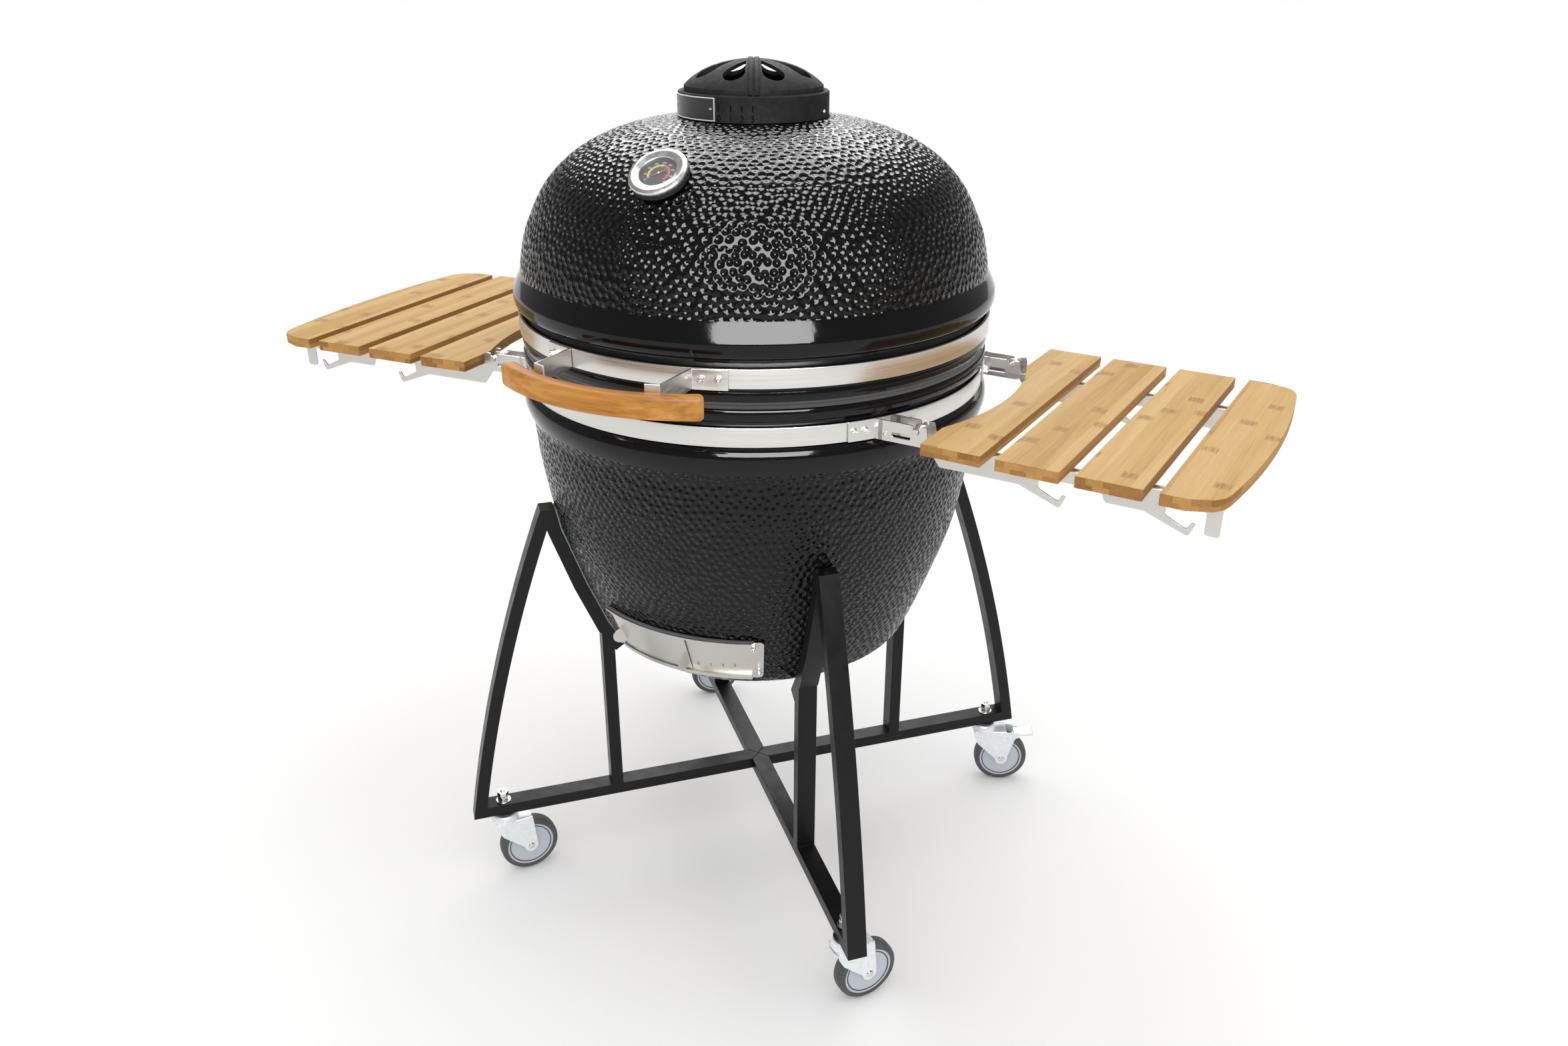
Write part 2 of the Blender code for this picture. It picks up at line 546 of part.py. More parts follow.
def build_lid():
    pivot = (0, HINGE_Y, HINGE_Z)
    dial_spot = polar(DIAL_RADIUS, DIAL_AZIMUTH, DIAL_HEIGHT)
    aside = Matrix.Rotation(math.radians(DIAL_AZIMUTH), 4, "Z")
    tilt = Matrix.Translation(dial_spot) @ aside @ Matrix.Rotation(math.radians(DIAL_TILT), 4, "X")
    stem_hole = moved(plate([circle(0.0045, 12)], -0.060, 0.030), tilt)
    world_piece("lid_dome", cut(turned(DOME_OUTER + DOME_INNER), stem_hole), "black_ceramic", pivot)
    world_piece("lid_band", ring(LID_BAND), "steel", pivot)
    world_piece("lid_gasket", ring(LID_GASKET), "gasket", pivot)

    world_piece("thermometer_case", moved(turned(CASE_PROFILE, 24, True), tilt), "steel", pivot)
    world_piece("thermometer_dial", moved(plate([circle(0.0255, 24)], 0.0093, 0.0103), tilt), "dial_black", pivot)
    world_piece("thermometer_lens", moved(plate([circle(0.0257, 24)], 0.0128, 0.0143), tilt), "glass", pivot)
    heading = math.radians(90 - NEEDLE_HEADING)
    along = Vector((math.cos(heading), math.sin(heading)))
    across = Vector((-along.y, along.x))
    needle = [along * 0.0190, across * 0.0009, -along * 0.0080 + across * 0.0012,
              -along * 0.0080 - across * 0.0012, across * -0.0009]
    needle_mesh = joined(
        plate([[tuple(p) for p in needle]], 0.0108, 0.0114), plate([circle(0.0022, 10)], 0.0107, 0.0122)
    )
    world_piece("thermometer_needle", moved(needle_mesh, tilt), "needle_red", dial_spot)


def teardrops(radius):
    """One tall prism for each petal: pointed towards the axis and round at its outer end."""
    tip, middle = 0.0260, 0.0705
    lean = math.degrees(math.acos(radius / (middle - tip)))
    bm = bmesh.new()
    for number in range(PETALS):
        turn = RIB_AZIMUTH - 90 + (number + 0.5) * 360 / PETALS
        outline = [(tip, 0.0)]
        for i in range(9):
            angle = math.radians(180 + lean + (360 - 2 * lean) * i / 8)
            outline.append((middle + radius * math.cos(angle), radius * math.sin(angle)))
        prism = moved(plate([outline], 1.270, 1.360), Matrix.Rotation(math.radians(turn), 4, "Z"))
        bm.from_mesh(prism)
    return mesh_from(bm, "teardrops")


def build_vent():
    pivot = (0, HINGE_Y, HINGE_Z)
    ring_mesh = cut(turned(VENT_PROFILE, 32, True), teardrops(PLATE_PETAL_RADIUS))
    world_piece("vent_ring", ring_mesh, "cast_black", pivot)
    shell = cut(turned(CAP_PROFILE, 32, True), teardrops(CAP_PETAL_RADIUS))
    rib_outline = [
        (0.0, 1.3290), (-0.006, 1.3290), (-0.006, 1.3330), (0.0300, 1.3318), (0.0600, 1.3240),
        (0.0850, 1.3115), (0.0980, 1.3010), (0.1010, 1.2980), (0.1010, 1.2895), (0.0960, 1.2895),
        (0.0940, 1.2960), (0.0830, 1.3060), (0.0590, 1.3180), (0.0300, 1.3260),
    ]
    rib = moved(plate([rib_outline], -0.0080, 0.0080), UPRIGHT_ALONG_X)
    rib = moved(rib, Matrix.Rotation(math.radians(RIB_AZIMUTH - 90), 4, "Z"))
    hub = plate([circle(0.0120, 12)], 1.2884, 1.3275)
    world_piece("vent_cap", joined(shell, rib, hub), "cast_black", (0, 0, 1.29))


def build_handle():
    pivot = (0, HINGE_Y, HINGE_Z)
    inner, outer = HANDLE_RADII
    bottom, top = HANDLE_HEIGHTS
    edge = 0.006
    section = [
        (inner + edge, bottom), (outer - edge, bottom), (outer, bottom + edge), (outer, top - edge),
        (outer - edge, top), (inner + edge, top), (inner, top - edge), (inner, bottom + edge),
    ]
    bm = bmesh.new()
    start = math.radians(-HANDLE_HALF_ANGLE)
    points = [bm.verts.new((radius * math.sin(start), -radius * math.cos(start), height))
              for radius, height in section]
    edges = [bm.edges.new((points[i - 1], points[i])) for i in range(len(points))]
    bmesh.ops.spin(
        bm, geom=points + edges, cent=(0, 0, 0), axis=(0, 0, 1), steps=16,
        angle=math.radians(2 * HANDLE_HALF_ANGLE), use_duplicate=False,
    )
    ends = [edge_ for edge_ in bm.edges if edge_.is_boundary]
    bmesh.ops.holes_fill(bm, edges=ends, sides=0)
    grip = moved(mesh_from(bm, "grip"), Matrix.Translation((0, HANDLE_CENTRE_Y, 0)))
    world_piece("handle_grip", grip, "hardwood", pivot)

    sheet = 0.003
    flange_radius = LID_BAND[1] + 0.0005 + sheet / 2
    bar_radius = inner - TOUCH_GAP - sheet / 2
    fold_angle = math.degrees(math.asin(STRAP_X / flange_radius))
    flange = [tuple(polar(flange_radius, 23.0 + (fold_angle - 23.0) * i / 3, 0).xy) for i in range(4)]
    foot = [(x, HANDLE_CENTRE_Y - math.sqrt(bar_radius ** 2 - x * x)) for x in (STRAP_X, 0.0760)]
    for side, sign in (("right", 1), ("left", -1)):
        outline = [(sign * x, y) for x, y in ribbon(flange + foot, sheet)]
        world_piece(f"handle_bracket_{side}", plate([outline], 0.9580, 0.9860), "steel", pivot)


# ---------------------------------------------------------------- rear hinge

def build_hinge():
    pivot = (0, HINGE_Y, HINGE_Z)
    pin_hole = circle(PIN_HOLE, 12, (HINGE_Y, HINGE_Z))

    def side_plates(outline, inner_x, outer_x):
        right = moved(plate([outline, pin_hole], inner_x, outer_x), UPRIGHT_ALONG_Y)
        left = moved(plate([outline, pin_hole], -outer_x, -inner_x), UPRIGHT_ALONG_Y)
        return right, left

    def back_flange(radius, bottom, top):
        return plate([ribbon(arc_xy(radius, 79, 101, 6), 0.003)], bottom, top)

    lower_ear = [
        (0.3462, 0.8800), (0.3462, 0.9030), (0.3620, 0.9150), (0.3920, 0.9460), (0.4050, 0.9500),
        (0.4170, 0.9440), (0.4210, 0.9300), (REAR_EDGE, 0.8720), (REAR_EDGE, 0.8500), (0.4360, 0.8500),
        (0.3750, 0.8720),
    ]
    tray = box((-0.0615, 0.4250, 0.8503), (0.0615, REAR_EDGE - 0.0004, 0.8536))
    lower = joined(back_flange(0.3512, 0.8778, 0.9042), *side_plates(lower_ear, 0.0600, 0.0635), tray)
    world_piece("hinge_bracket_lower", lower, "steel")

    upper_ear = [
        (0.3528, 0.9620), (0.3528, 0.9840), (0.4000, 0.9730), (0.4360, 0.9720), (0.4490, 0.9680),
        (0.4535, 0.9598), (0.4490, 0.9515), (0.4432, 0.9490), (0.4180, 0.9275), (0.4050, 0.9250),
        (0.3940, 0.9300), (0.3750, 0.9550),
    ]
    bar = rod((-0.0560, ANCHOR_Y, ANCHOR_Z), (0.0560, ANCHOR_Y, ANCHOR_Z), 0.0050, 10)
    upper = joined(back_flange(0.3572, 0.9600, 0.9855), *side_plates(upper_ear, 0.0545, 0.0580), bar)
    world_piece("hinge_bracket_upper", upper, "steel", pivot)
    world_piece(
        "hinge_pin", rod((-0.0680, HINGE_Y, HINGE_Z), (0.0680, HINGE_Y, HINGE_Z), PIN_RADIUS, 12), "steel", pivot
    )
    for side, x in (("left", -SPRING_X), ("right", SPRING_X)):
        coil = rod((x, ANCHOR_Y, 0.8540), (x, ANCHOR_Y, ANCHOR_Z - 0.0055), SPRING_RADIUS, 14)
        world_piece(f"hinge_spring_{side}", coil, "steel", (x, ANCHOR_Y, 0.8540))


# ---------------------------------------------------------------- side shelves

def slat_outline(number):
    inner, outer = SLAT_EDGES[number]
    front, back = SHELF_Y
    if number == 0:
        reach = math.degrees(math.asin(math.sqrt(SHELF_RELIEF ** 2 - inner ** 2) / SHELF_RELIEF))
        return [(inner, back), (outer, back), (outer, front), (inner, front), *arc_xy(SHELF_RELIEF, -reach, reach, 12)]
    if number < 3:
        return [(inner, front), (outer, front), (outer, back), (inner, back)]
    corner = 0.045
    middle, half = (front + back) / 2, (back - front) / 2
    crown = []
    for i in range(9):
        y = front + corner + (back - front - 2 * corner) * i / 8
        crown.append((outer + SHELF_CROWN * (1 - ((y - middle) / half) ** 2), y))
    lead, trail = crown[0], crown[-1]
    front_round = [(outer - 0.030, front), (outer - 0.010, front + 0.006), (lead[0] - 0.006, front + 0.020)]
    back_round = [(trail[0] - 0.006, back - 0.020), (outer - 0.010, back - 0.006), (outer - 0.030, back)]
    return [(inner, front), *front_round, *crown, *back_round, (inner, back)]


def build_shelves():
    bottom = SLAT_TOP - SLAT_THICKNESS
    for side, sign in (("right", 1), ("left", -1)):
        # The left shelf is the right one mirrored in the YZ plane.
        turn = Matrix.Rotation(math.radians(-SHELF_SPLAY), 4, "Z")

        def placed(mesh):
            moved(mesh, turn)
            if sign < 0:
                moved(mesh, Matrix.Diagonal((-1, 1, 1, 1)))
                mesh.flip_normals()
            return mesh

        pivot = turn @ Vector((PIVOT_X, 0, PIVOT_Z))
        pivot.x *= sign
        for number in range(4):
            slat = placed(plate([slat_outline(number)], bottom, SLAT_TOP))
            world_piece(f"shelf_slat_{side}_{number + 1}", slat, "bamboo", pivot)
        for place, y in (("front", -MOUNT_Y), ("back", MOUNT_Y)):
            web = moved(plate([ARM_OUTLINE], -0.0015, 0.0015), UPRIGHT_ALONG_X)
            ledge = box((0.3900, -0.0070, 0.8807), (0.7515, 0.0070, bottom - TOUCH_GAP))
            pin = rod((PIVOT_X, -0.0180, PIVOT_Z), (PIVOT_X, 0.0180, PIVOT_Z), 0.0040, 12)
            arm = moved(joined(ledge, web, pin), Matrix.Translation((0, y, 0)))
            world_piece(f"shelf_arm_{side}_{place}", placed(arm), "steel", pivot)

            brackets = []
            for outward in (1, -1):
                arm_y = y + outward * MOUNT_HALF_GAP
                fold = math.degrees(math.asin(arm_y / MOUNT_FLANGE_RADIUS))
                path = arc_xy(MOUNT_FLANGE_RADIUS, fold + outward * 6.5, fold, 3) + [(MOUNT_REACH, arm_y)]
                brackets.append(plate([ribbon(path, 0.0025)], *MOUNT_HEIGHTS))
            spacer = rod((0.3160, y - 0.0125, 0.8830), (0.3160, y + 0.0125, 0.8830), 0.0030, 8)
            pair = joined(spacer, *brackets)
            notch = box((0.3560, y - 0.030, 0.8935), (0.3650, y + 0.030, 0.9200))
            slot = box((0.3250, y - 0.030, 0.8850), (0.3540, y + 0.030, 0.8930))
            corner = [(0.3690, 0.87675), (0.3800, 0.87675), (0.3800, 0.8850)]
            clearance = moved(plate([corner], -0.030, 0.030), UPRIGHT_ALONG_X)
            moved(clearance, Matrix.Translation((0, y, 0)))
            world_piece(f"shelf_mount_{side}_{place}", placed(cut(pair, notch, slot, clearance)), "steel")


# ---------------------------------------------------------------- the whole grill

for old in list(bpy.data.objects):
    bpy.data.objects.remove(old)
build_body()
build_grates()
build_draft()
build_cart()
build_casters()
build_lid()
build_vent()
build_handle()
build_hinge()
build_shelves()
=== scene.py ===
"""The kamado grill as it looks: every visible piece, its material, the floor, the lights and the camera.

Metres, +Z up, the bowl's axis on Z and the front towards -Y. An azimuth is an angle round the bowl's axis in
degrees, 0 at the front and positive towards +X. Profiles are (radius, height) points.
"""

from math import acos, asin, cos, degrees, pi, radians, sin, sqrt, tan, tau

import bmesh
import bpy
import numpy as np
from mathutils import Matrix, Vector


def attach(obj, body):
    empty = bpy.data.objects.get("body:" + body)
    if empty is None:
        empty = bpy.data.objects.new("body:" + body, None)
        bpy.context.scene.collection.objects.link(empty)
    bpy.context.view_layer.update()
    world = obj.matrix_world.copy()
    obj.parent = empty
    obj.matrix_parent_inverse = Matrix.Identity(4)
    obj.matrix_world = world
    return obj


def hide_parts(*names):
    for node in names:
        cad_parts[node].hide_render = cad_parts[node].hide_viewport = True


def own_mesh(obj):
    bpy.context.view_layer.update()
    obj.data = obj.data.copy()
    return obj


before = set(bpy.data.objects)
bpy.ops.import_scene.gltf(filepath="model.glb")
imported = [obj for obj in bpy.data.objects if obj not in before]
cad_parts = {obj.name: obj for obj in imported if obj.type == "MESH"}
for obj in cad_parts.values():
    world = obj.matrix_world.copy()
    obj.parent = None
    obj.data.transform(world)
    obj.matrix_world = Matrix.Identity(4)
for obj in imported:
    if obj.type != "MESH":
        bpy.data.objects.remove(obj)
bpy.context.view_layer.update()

ROUND = 720      # facets round the textured ceramic
ROW = 0.003    # height of a row of them
CELL_WIDE, CELL_TALL, CELL_JITTER = 0.013, 0.019, 0.34    # a cell holds two dimples, one above the other
HOLLOW_FLOOR, HOLLOW_EDGE = 0.0, 0.0068                   # radii of a dimple's floor and of its edge
DIMPLE_DEPTH = 0.0006
WORLD_LIGHT, WORLD_IN_REFLECTIONS = 1.1, 0.3
CAMERA_PLACE, CAMERA_LENS = (0.872, -1.6033, 1.4503), 27.807
CAMERA_HEADING, CAMERA_PITCH, CAMERA_ROLL = 27.114, 65.254, 0.224    # degrees
GLAZE = (0.0032, 0.0032, 0.0037)

# ------------------------------------------------------------------ shapes shared with the CAD model

BOWL_FOOT = [(0.215, 0.446), (0.2225, 0.446), (0.23, 0.4475), (0.236, 0.4503)]
BOWL_SIDE = [
    (0.24, 0.4535), (0.2544, 0.47), (0.2867, 0.55), (0.3201, 0.65), (0.3385, 0.75),
    (0.3425, 0.79), (0.3452, 0.824),
]
CRADLE = [(0.2034, 0.41), *BOWL_SIDE[1:5]]     # the curve of the saddles: the bowl's, carried on past its foot
BOWL_RIM = [
    (0.352, 0.838), (0.356, 0.851), (0.3565, 0.86), (0.355, 0.869), (0.35, 0.8745),
    (0.3462, 0.8765), (0.3462, 0.911), (0.348, 0.913), (0.351, 0.914), (0.352, 0.9155),
    (0.352, 0.9285), (0.3505, 0.93),
]
BOWL_INSIDE = [
    (0.3235, 0.93), (0.322, 0.9285), (0.322, 0.85), (0.3185, 0.8), (0.315, 0.755),
    (0.2975, 0.658), (0.2642, 0.558), (0.2345, 0.483), (0.2235, 0.473),
]
DOME_RIM = [
    (0.3508, 0.941), (0.352, 0.9422), (0.352, 0.951), (0.3508, 0.9535), (0.3503, 0.956),
    (0.3503, 0.996), (0.3515, 0.9972), (0.3555, 0.9985), (0.3588, 1.002), (0.3602, 1.008),
    (0.3602, 1.0175), (0.3598, 1.0198), (0.3588, 1.0222), (0.3506, 1.0398), (0.3488, 1.0425),
    (0.3478, 1.0455),
]
DOME_SIDE = [
    (0.3472, 1.048), (0.3458, 1.06), (0.3395, 1.09), (0.3311, 1.113), (0.3098, 1.155),
    (0.2826, 1.187), (0.2497, 1.212), (0.211, 1.231), (0.1663, 1.245), (0.1147, 1.254),
]
DOME_TOP = [(0.11, 1.254), (0.076, 1.254)]
DOME_INSIDE = [
    (0.0755, 1.2335), (0.1135, 1.232), (0.162, 1.2225), (0.203, 1.21), (0.237, 1.1925),
    (0.265, 1.17), (0.2905, 1.1395), (0.31, 1.104), (0.3255, 1.05), (0.322, 0.99),
    (0.322, 0.942), (0.323, 0.941),
]
DRAFT_WINDOW = (-17.5, 1.5, 0.4865, 0.5355)    # azimuths and heights of the air inlet
DRAFT_PLATE = (-24.0, 30.5, 0.4705, 0.5495)
DOOR_PLATE = (-22.0, 6.5, 0.4785, 0.545)

CORNERS = {"front_left": 225.0, "front_right": 315.0, "back_right": 45.0, "back_left": 135.0}
HEADINGS = {"front_left": 55.0, "front_right": 55.0, "back_right": 26.0, "back_left": 40.0}
CASTER_RADIUS, CASTER_TRAIL, WHEEL_RADIUS = 0.455, 0.036, 0.05
FORK_INNER, FORK_OUTER = 0.0145, 0.0169    # the cheeks, from the wheel's middle
BEAM_BOTTOM, TUBE_DEPTH, TUBE_WIDTH = 0.13, 0.02, 0.03
FRAME_REACH, FRAME_TOP, LEG_TOP_RADIUS, LEG_BULGE = 0.507, 0.685, 0.352, 0.0147
POST_OUTER = 0.27

HINGE = Vector((0.0, 0.405, 0.936))
ANCHOR_Y, ANCHOR_Z, SPRING_FOOT = 0.4432, 0.9598, 0.854
HANDLE_CENTRE_Y, HANDLE_INNER, HANDLE_OUTER = -0.1581, 0.2789, 0.3009
HANDLE_BOTTOM, HANDLE_TOP, HANDLE_HALF_ANGLE = 0.946, 0.977, 31.0
STRAP_X = 0.0942
RIB_AZIMUTH = 28.5
VENT_HOLES = (1.27, 1.36)          # heights between which the petals are cut
DIAL_RADIUS, DIAL_HEIGHT = 0.264, 1.2011
DIAL_AZIMUTH, DIAL_TILT = radians(1.8), radians(36.0)
SCALE_START, SCALE_SWEEP = -130, 262    # of the dial, in degrees to the right of straight up
NEEDLE_HEADING = 235                    # at rest, in the same degrees
PETAL_TIP, PETAL_MIDDLE, CAP_PETAL, SEAT_PETAL = 0.026, 0.0705, 0.0155, 0.0066

SPLAY = radians(3.5)
SLAT_TOP, SLAT_BOTTOM = 0.9, 0.884
SLAT_EDGES = [(0.385, 0.467), (0.486, 0.568), (0.587, 0.669), (0.688, 0.755)]
SHELF_FRONT, SHELF_BACK = -0.225, 0.265
RELIEF = 0.415                     # radius of the hollow in the inner slat, about the bowl's axis
CROWN, SOFT_CORNER = 0.02, 0.036   # of the outer slat: how far it bows out, and its corners' radius
MOUNT_Y, MOUNT_HALF_GAP = 0.169, 0.013
PIVOT_X, PIVOT_Z = 0.3605, 0.8978

# ------------------------------------------------------------------ materials


def plug(tree, socket, value):
    """Gives a socket a value, or links another node's output to it."""
    if isinstance(value, bpy.types.NodeSocket):
        tree.links.new(value, socket)
    else:
        socket.default_value = value


def add_node(tree, kind, inputs, **settings):
    """A new node. inputs holds values or other nodes' outputs, by the name or number of the socket."""
    made = tree.nodes.new(kind)
    for key, value in settings.items():
        setattr(made, key, value)
    for key, value in inputs.items():
        plug(tree, made.inputs[key], value)
    return made


def calculate(tree, operation, *values):
    return add_node(tree, "ShaderNodeMath", dict(enumerate(values)), operation=operation).outputs[0]


def vector_math(tree, operation, *values):
    return add_node(tree, "ShaderNodeVectorMath", dict(enumerate(values)), operation=operation)


class Look:
    """A Principled material with helpers that plug procedural patterns into it."""

    def __init__(self, name, colour, roughness, metallic=0.0, **sockets):
        self.material = bpy.data.materials.new(name)
        self.material.use_nodes = True
        self.tree = self.material.node_tree
        self.shader = self.tree.nodes["Principled BSDF"]
        self.give("Base Color", (*colour, 1.0))
        self.give("Roughness", roughness)
        self.give("Metallic", metallic)
        for socket, value in sockets.items():
            self.give(socket.replace("_", " ").title().replace("Ior", "IOR"), value)
        self.coordinates = self.node("ShaderNodeTexCoord").outputs["Object"]
        self.bumps = None

    def give(self, socket, value):
        plug(self.tree, self.shader.inputs[socket], value)

    def node(self, kind, inputs={}, **settings):
        return add_node(self.tree, kind, inputs, **settings)

    def math(self, operation, *values):
        return calculate(self.tree, operation, *values)

    def turn_coordinates(self, angle, scale=(1, 1, 1)):
        inputs = {"Vector": self.coordinates, "Rotation": (0, 0, angle), "Scale": scale}
        return self.node("ShaderNodeMapping", inputs).outputs["Vector"]

    def noise(self, scale, stretch=(1, 1, 1), detail=3.0, roughness=0.5):
        place = self.turn_coordinates(0.0, stretch)
        inputs = {"Vector": place, "Scale": scale, "Detail": detail, "Roughness": roughness}
        return self.node("ShaderNodeTexNoise", inputs).outputs["Fac"]

    def spread(self, value, low, high, from_low=0.3, from_high=0.7, **settings):
        inputs = {"Value": value, "From Min": from_low, "From Max": from_high, "To Min": low, "To Max": high}
        return self.node("ShaderNodeMapRange", inputs, **settings).outputs["Result"]

    def ramp(self, value, *stops):
        made = self.node("ShaderNodeValToRGB", {"Fac": value})
        elements = made.color_ramp.elements
        while len(elements) < len(stops):
            elements.new(0.5)
        for element, (position, colour) in zip(elements, stops):
            element.position = position
            element.color = (*colour, 1.0)
        return made.outputs["Color"]

    def mix(self, amount, first, second):
        """Mixes two colours. A Mix node's colours are its inputs 6 and 7 and its output 2."""
        return self.node("ShaderNodeMix", {0: amount, 6: first, 7: second}, data_type="RGBA").outputs[2]

    def rough(self, value, low, high):
        self.give("Roughness", self.spread(value, low, high))

    def bump(self, height, distance, strength=1.0):
        inputs = {"Height": height, "Distance": distance, "Strength": strength}
        if self.bumps:
            inputs["Normal"] = self.bumps
        self.bumps = self.node("ShaderNodeBump", inputs).outputs["Normal"]
        self.give("Normal", self.bumps)


def brushed_steel(name, colour, stretch, low, high):
    look = Look(name, colour, 0.3, 1.0)
    lines = look.noise(1.0, stretch, detail=2.0)
    look.rough(lines, low, high)
    look.bump(lines, 0.00004)
    return look.material


def grainy(name, colour, roughness, tones=None, rough=None, bump=None, **sockets):
    """A look made of noises, each given first by its scale and detail. tones goes on with a dark and a light
    colour, rough with two roughnesses and bump with a height and a strength."""
    look = Look(name, colour, roughness, **sockets)
    if tones:
        scale, detail, dark, light = tones
        look.give("Base Color", look.ramp(look.noise(scale, detail=detail), (0.3, dark), (0.7, light)))
    if rough:
        scale, detail, low, high = rough
        look.rough(look.noise(scale, detail=detail), low, high)
    if bump:
        scale, detail, height, strength = bump
        look.bump(look.noise(scale, detail=detail), height, strength)
    return look.material


def dimple_depth(tree, place):
    """How deep the dimples are at a place counted in cells: 0 on their rims, 1 on their floors."""
    gaps = []
    for shift in ((0.0, 0.0, 0.0), (17.5, 5.5, 0.0)):
        here = vector_math(tree, "ADD", place, shift).outputs["Vector"]
        inputs = {"Vector": here, "Scale": 1.0, "Randomness": CELL_JITTER}
        cells = add_node(tree, "ShaderNodeTexVoronoi", inputs, voronoi_dimensions="2D")
        away = vector_math(tree, "SUBTRACT", here, cells.outputs["Position"]).outputs["Vector"]
        sized = vector_math(tree, "MULTIPLY", away, (CELL_WIDE, CELL_TALL, 0.0)).outputs["Vector"]
        gaps.append(vector_math(tree, "LENGTH", sized).outputs["Value"])
    inputs = {"Value": calculate(tree, "MINIMUM", *gaps), "From Min": HOLLOW_FLOOR, "From Max": HOLLOW_EDGE,
              "To Min": 1.0, "To Max": 0.0}
    return add_node(tree, "ShaderNodeMapRange", inputs, interpolation_type="SMOOTHSTEP").outputs["Result"]


def glaze_look():
    look = Look("black_glaze", GLAZE, 0.08, specular_ior_level=0.25)
    cells = look.node("ShaderNodeUVMap", uv_map="cells").outputs["UV"]
    look.rough(look.noise(60.0, detail=4.0), 0.05, 0.11)
    look.bump(dimple_depth(look.tree, cells), -0.0018)
    look.bump(look.noise(220.0, detail=2.0), 0.00012, 0.6)
    return look.material


def zinc_look():
    look = Look("zinc_plate", (0.8, 0.84, 0.86), 0.3, 0.3)
    mottle = look.noise(140.0, detail=5.0, roughness=0.7)
    look.give("Base Color", look.ramp(mottle, (0.3, (0.74, 0.79, 0.82)), (0.7, (0.88, 0.91, 0.91))))
    look.rough(mottle, 0.26, 0.46)
    look.bump(look.noise(500.0, detail=2.0), 0.00005)
    return look.material


def hardwood_look():
    look = Look("handle_hardwood", (0.42, 0.17, 0.06), 0.42, specular_ior_level=0.2)
    fibre = look.noise(1.0, (9, 160, 200), detail=6.0, roughness=0.65)
    broad = look.noise(1.0, (3, 45, 60))
    tone = look.math("MULTIPLY_ADD", fibre, 0.55, look.math("MULTIPLY", broad, 0.45))
    look.give("Base Color", look.ramp(tone, (0.32, (0.32, 0.12, 0.02)), (0.5, (0.52, 0.22, 0.038)),
                                      (0.68, (0.66, 0.33, 0.08))))
    look.rough(fibre, 0.38, 0.54)
    look.bump(fibre, 0.00015)
    return look.material


def bamboo(name, turn):
    """Laminated bamboo whose strips run along the slat. turn is the shelf's splay."""
    look = Look(name, (0.5, 0.33, 0.15), 0.6, specular_ior_level=0.1)
    look.coordinates = look.turn_coordinates(turn)
    across, along, height = look.node("ShaderNodeSeparateXYZ", {0: look.coordinates}).outputs
    layer = look.math("FLOOR", look.math("DIVIDE", height, 0.0081))
    strip = look.math("FLOOR", look.math("DIVIDE", look.math("MULTIPLY_ADD", layer, 0.0087, across), 0.0205))
    pair = look.node("ShaderNodeCombineXYZ", {0: strip, 1: layer}).outputs[0]
    luck = look.node("ShaderNodeTexWhiteNoise", {"Vector": pair}, noise_dimensions="2D").outputs["Value"]

    fibre = look.noise(1.0, (420, 9, 300), detail=4.0, roughness=0.6)
    broad = look.noise(1.0, (60, 3, 60))
    tone = look.math("MULTIPLY_ADD", fibre, 0.42, look.math("MULTIPLY", broad, 0.38))
    tone = look.math("MULTIPLY_ADD", luck, 0.22, tone)
    face = look.ramp(tone, (0.3, (0.45, 0.26, 0.085)), (0.5, (0.58, 0.365, 0.14)),
                     (0.72, (0.68, 0.465, 0.215)))

    # The growth rings of the cane: a brown fibrous patch across a strip every third of a metre or so.
    place = look.math("FRACT", look.math("MULTIPLY_ADD", along, 3.1, look.math("MULTIPLY", luck, 7.0)))
    wobble = look.math("MULTIPLY", look.math("SUBTRACT", look.noise(1.0, (90, 20, 90)), 0.5), 0.06)
    offset = look.math("ADD", look.math("SUBTRACT", place, 0.5), wobble)
    near = look.spread(look.math("ABSOLUTE", offset), 1.0, 0.0, 0.014, 0.042, interpolation_type="SMOOTHSTEP")
    patch = look.math("MULTIPLY", near, look.spread(fibre, 0.2, 0.8, 0.38, 0.6))
    face = look.mix(patch, face, (0.33, 0.17, 0.06, 1.0))

    # Cut ends and edges are browner than the faces and show the strips more.
    normal = look.node("ShaderNodeNewGeometry").outputs["Normal"]
    upright = look.node("ShaderNodeSeparateXYZ", {0: normal}).outputs[2]
    side = look.math("SUBTRACT", 1.0, look.math("ABSOLUTE", upright))
    edge_tone = look.math("MULTIPLY_ADD", luck, 0.55,
                          look.math("MULTIPLY", look.noise(500.0, detail=2.0), 0.45))
    edge = look.ramp(edge_tone, (0.2, (0.27, 0.125, 0.032)), (0.8, (0.52, 0.285, 0.09)))
    look.give("Base Color", look.mix(look.spread(side, 0.0, 1.0, 0.25, 0.75), face, edge))
    look.rough(fibre, 0.55, 0.7)
    look.bump(fibre, 0.00012)
    return look.material


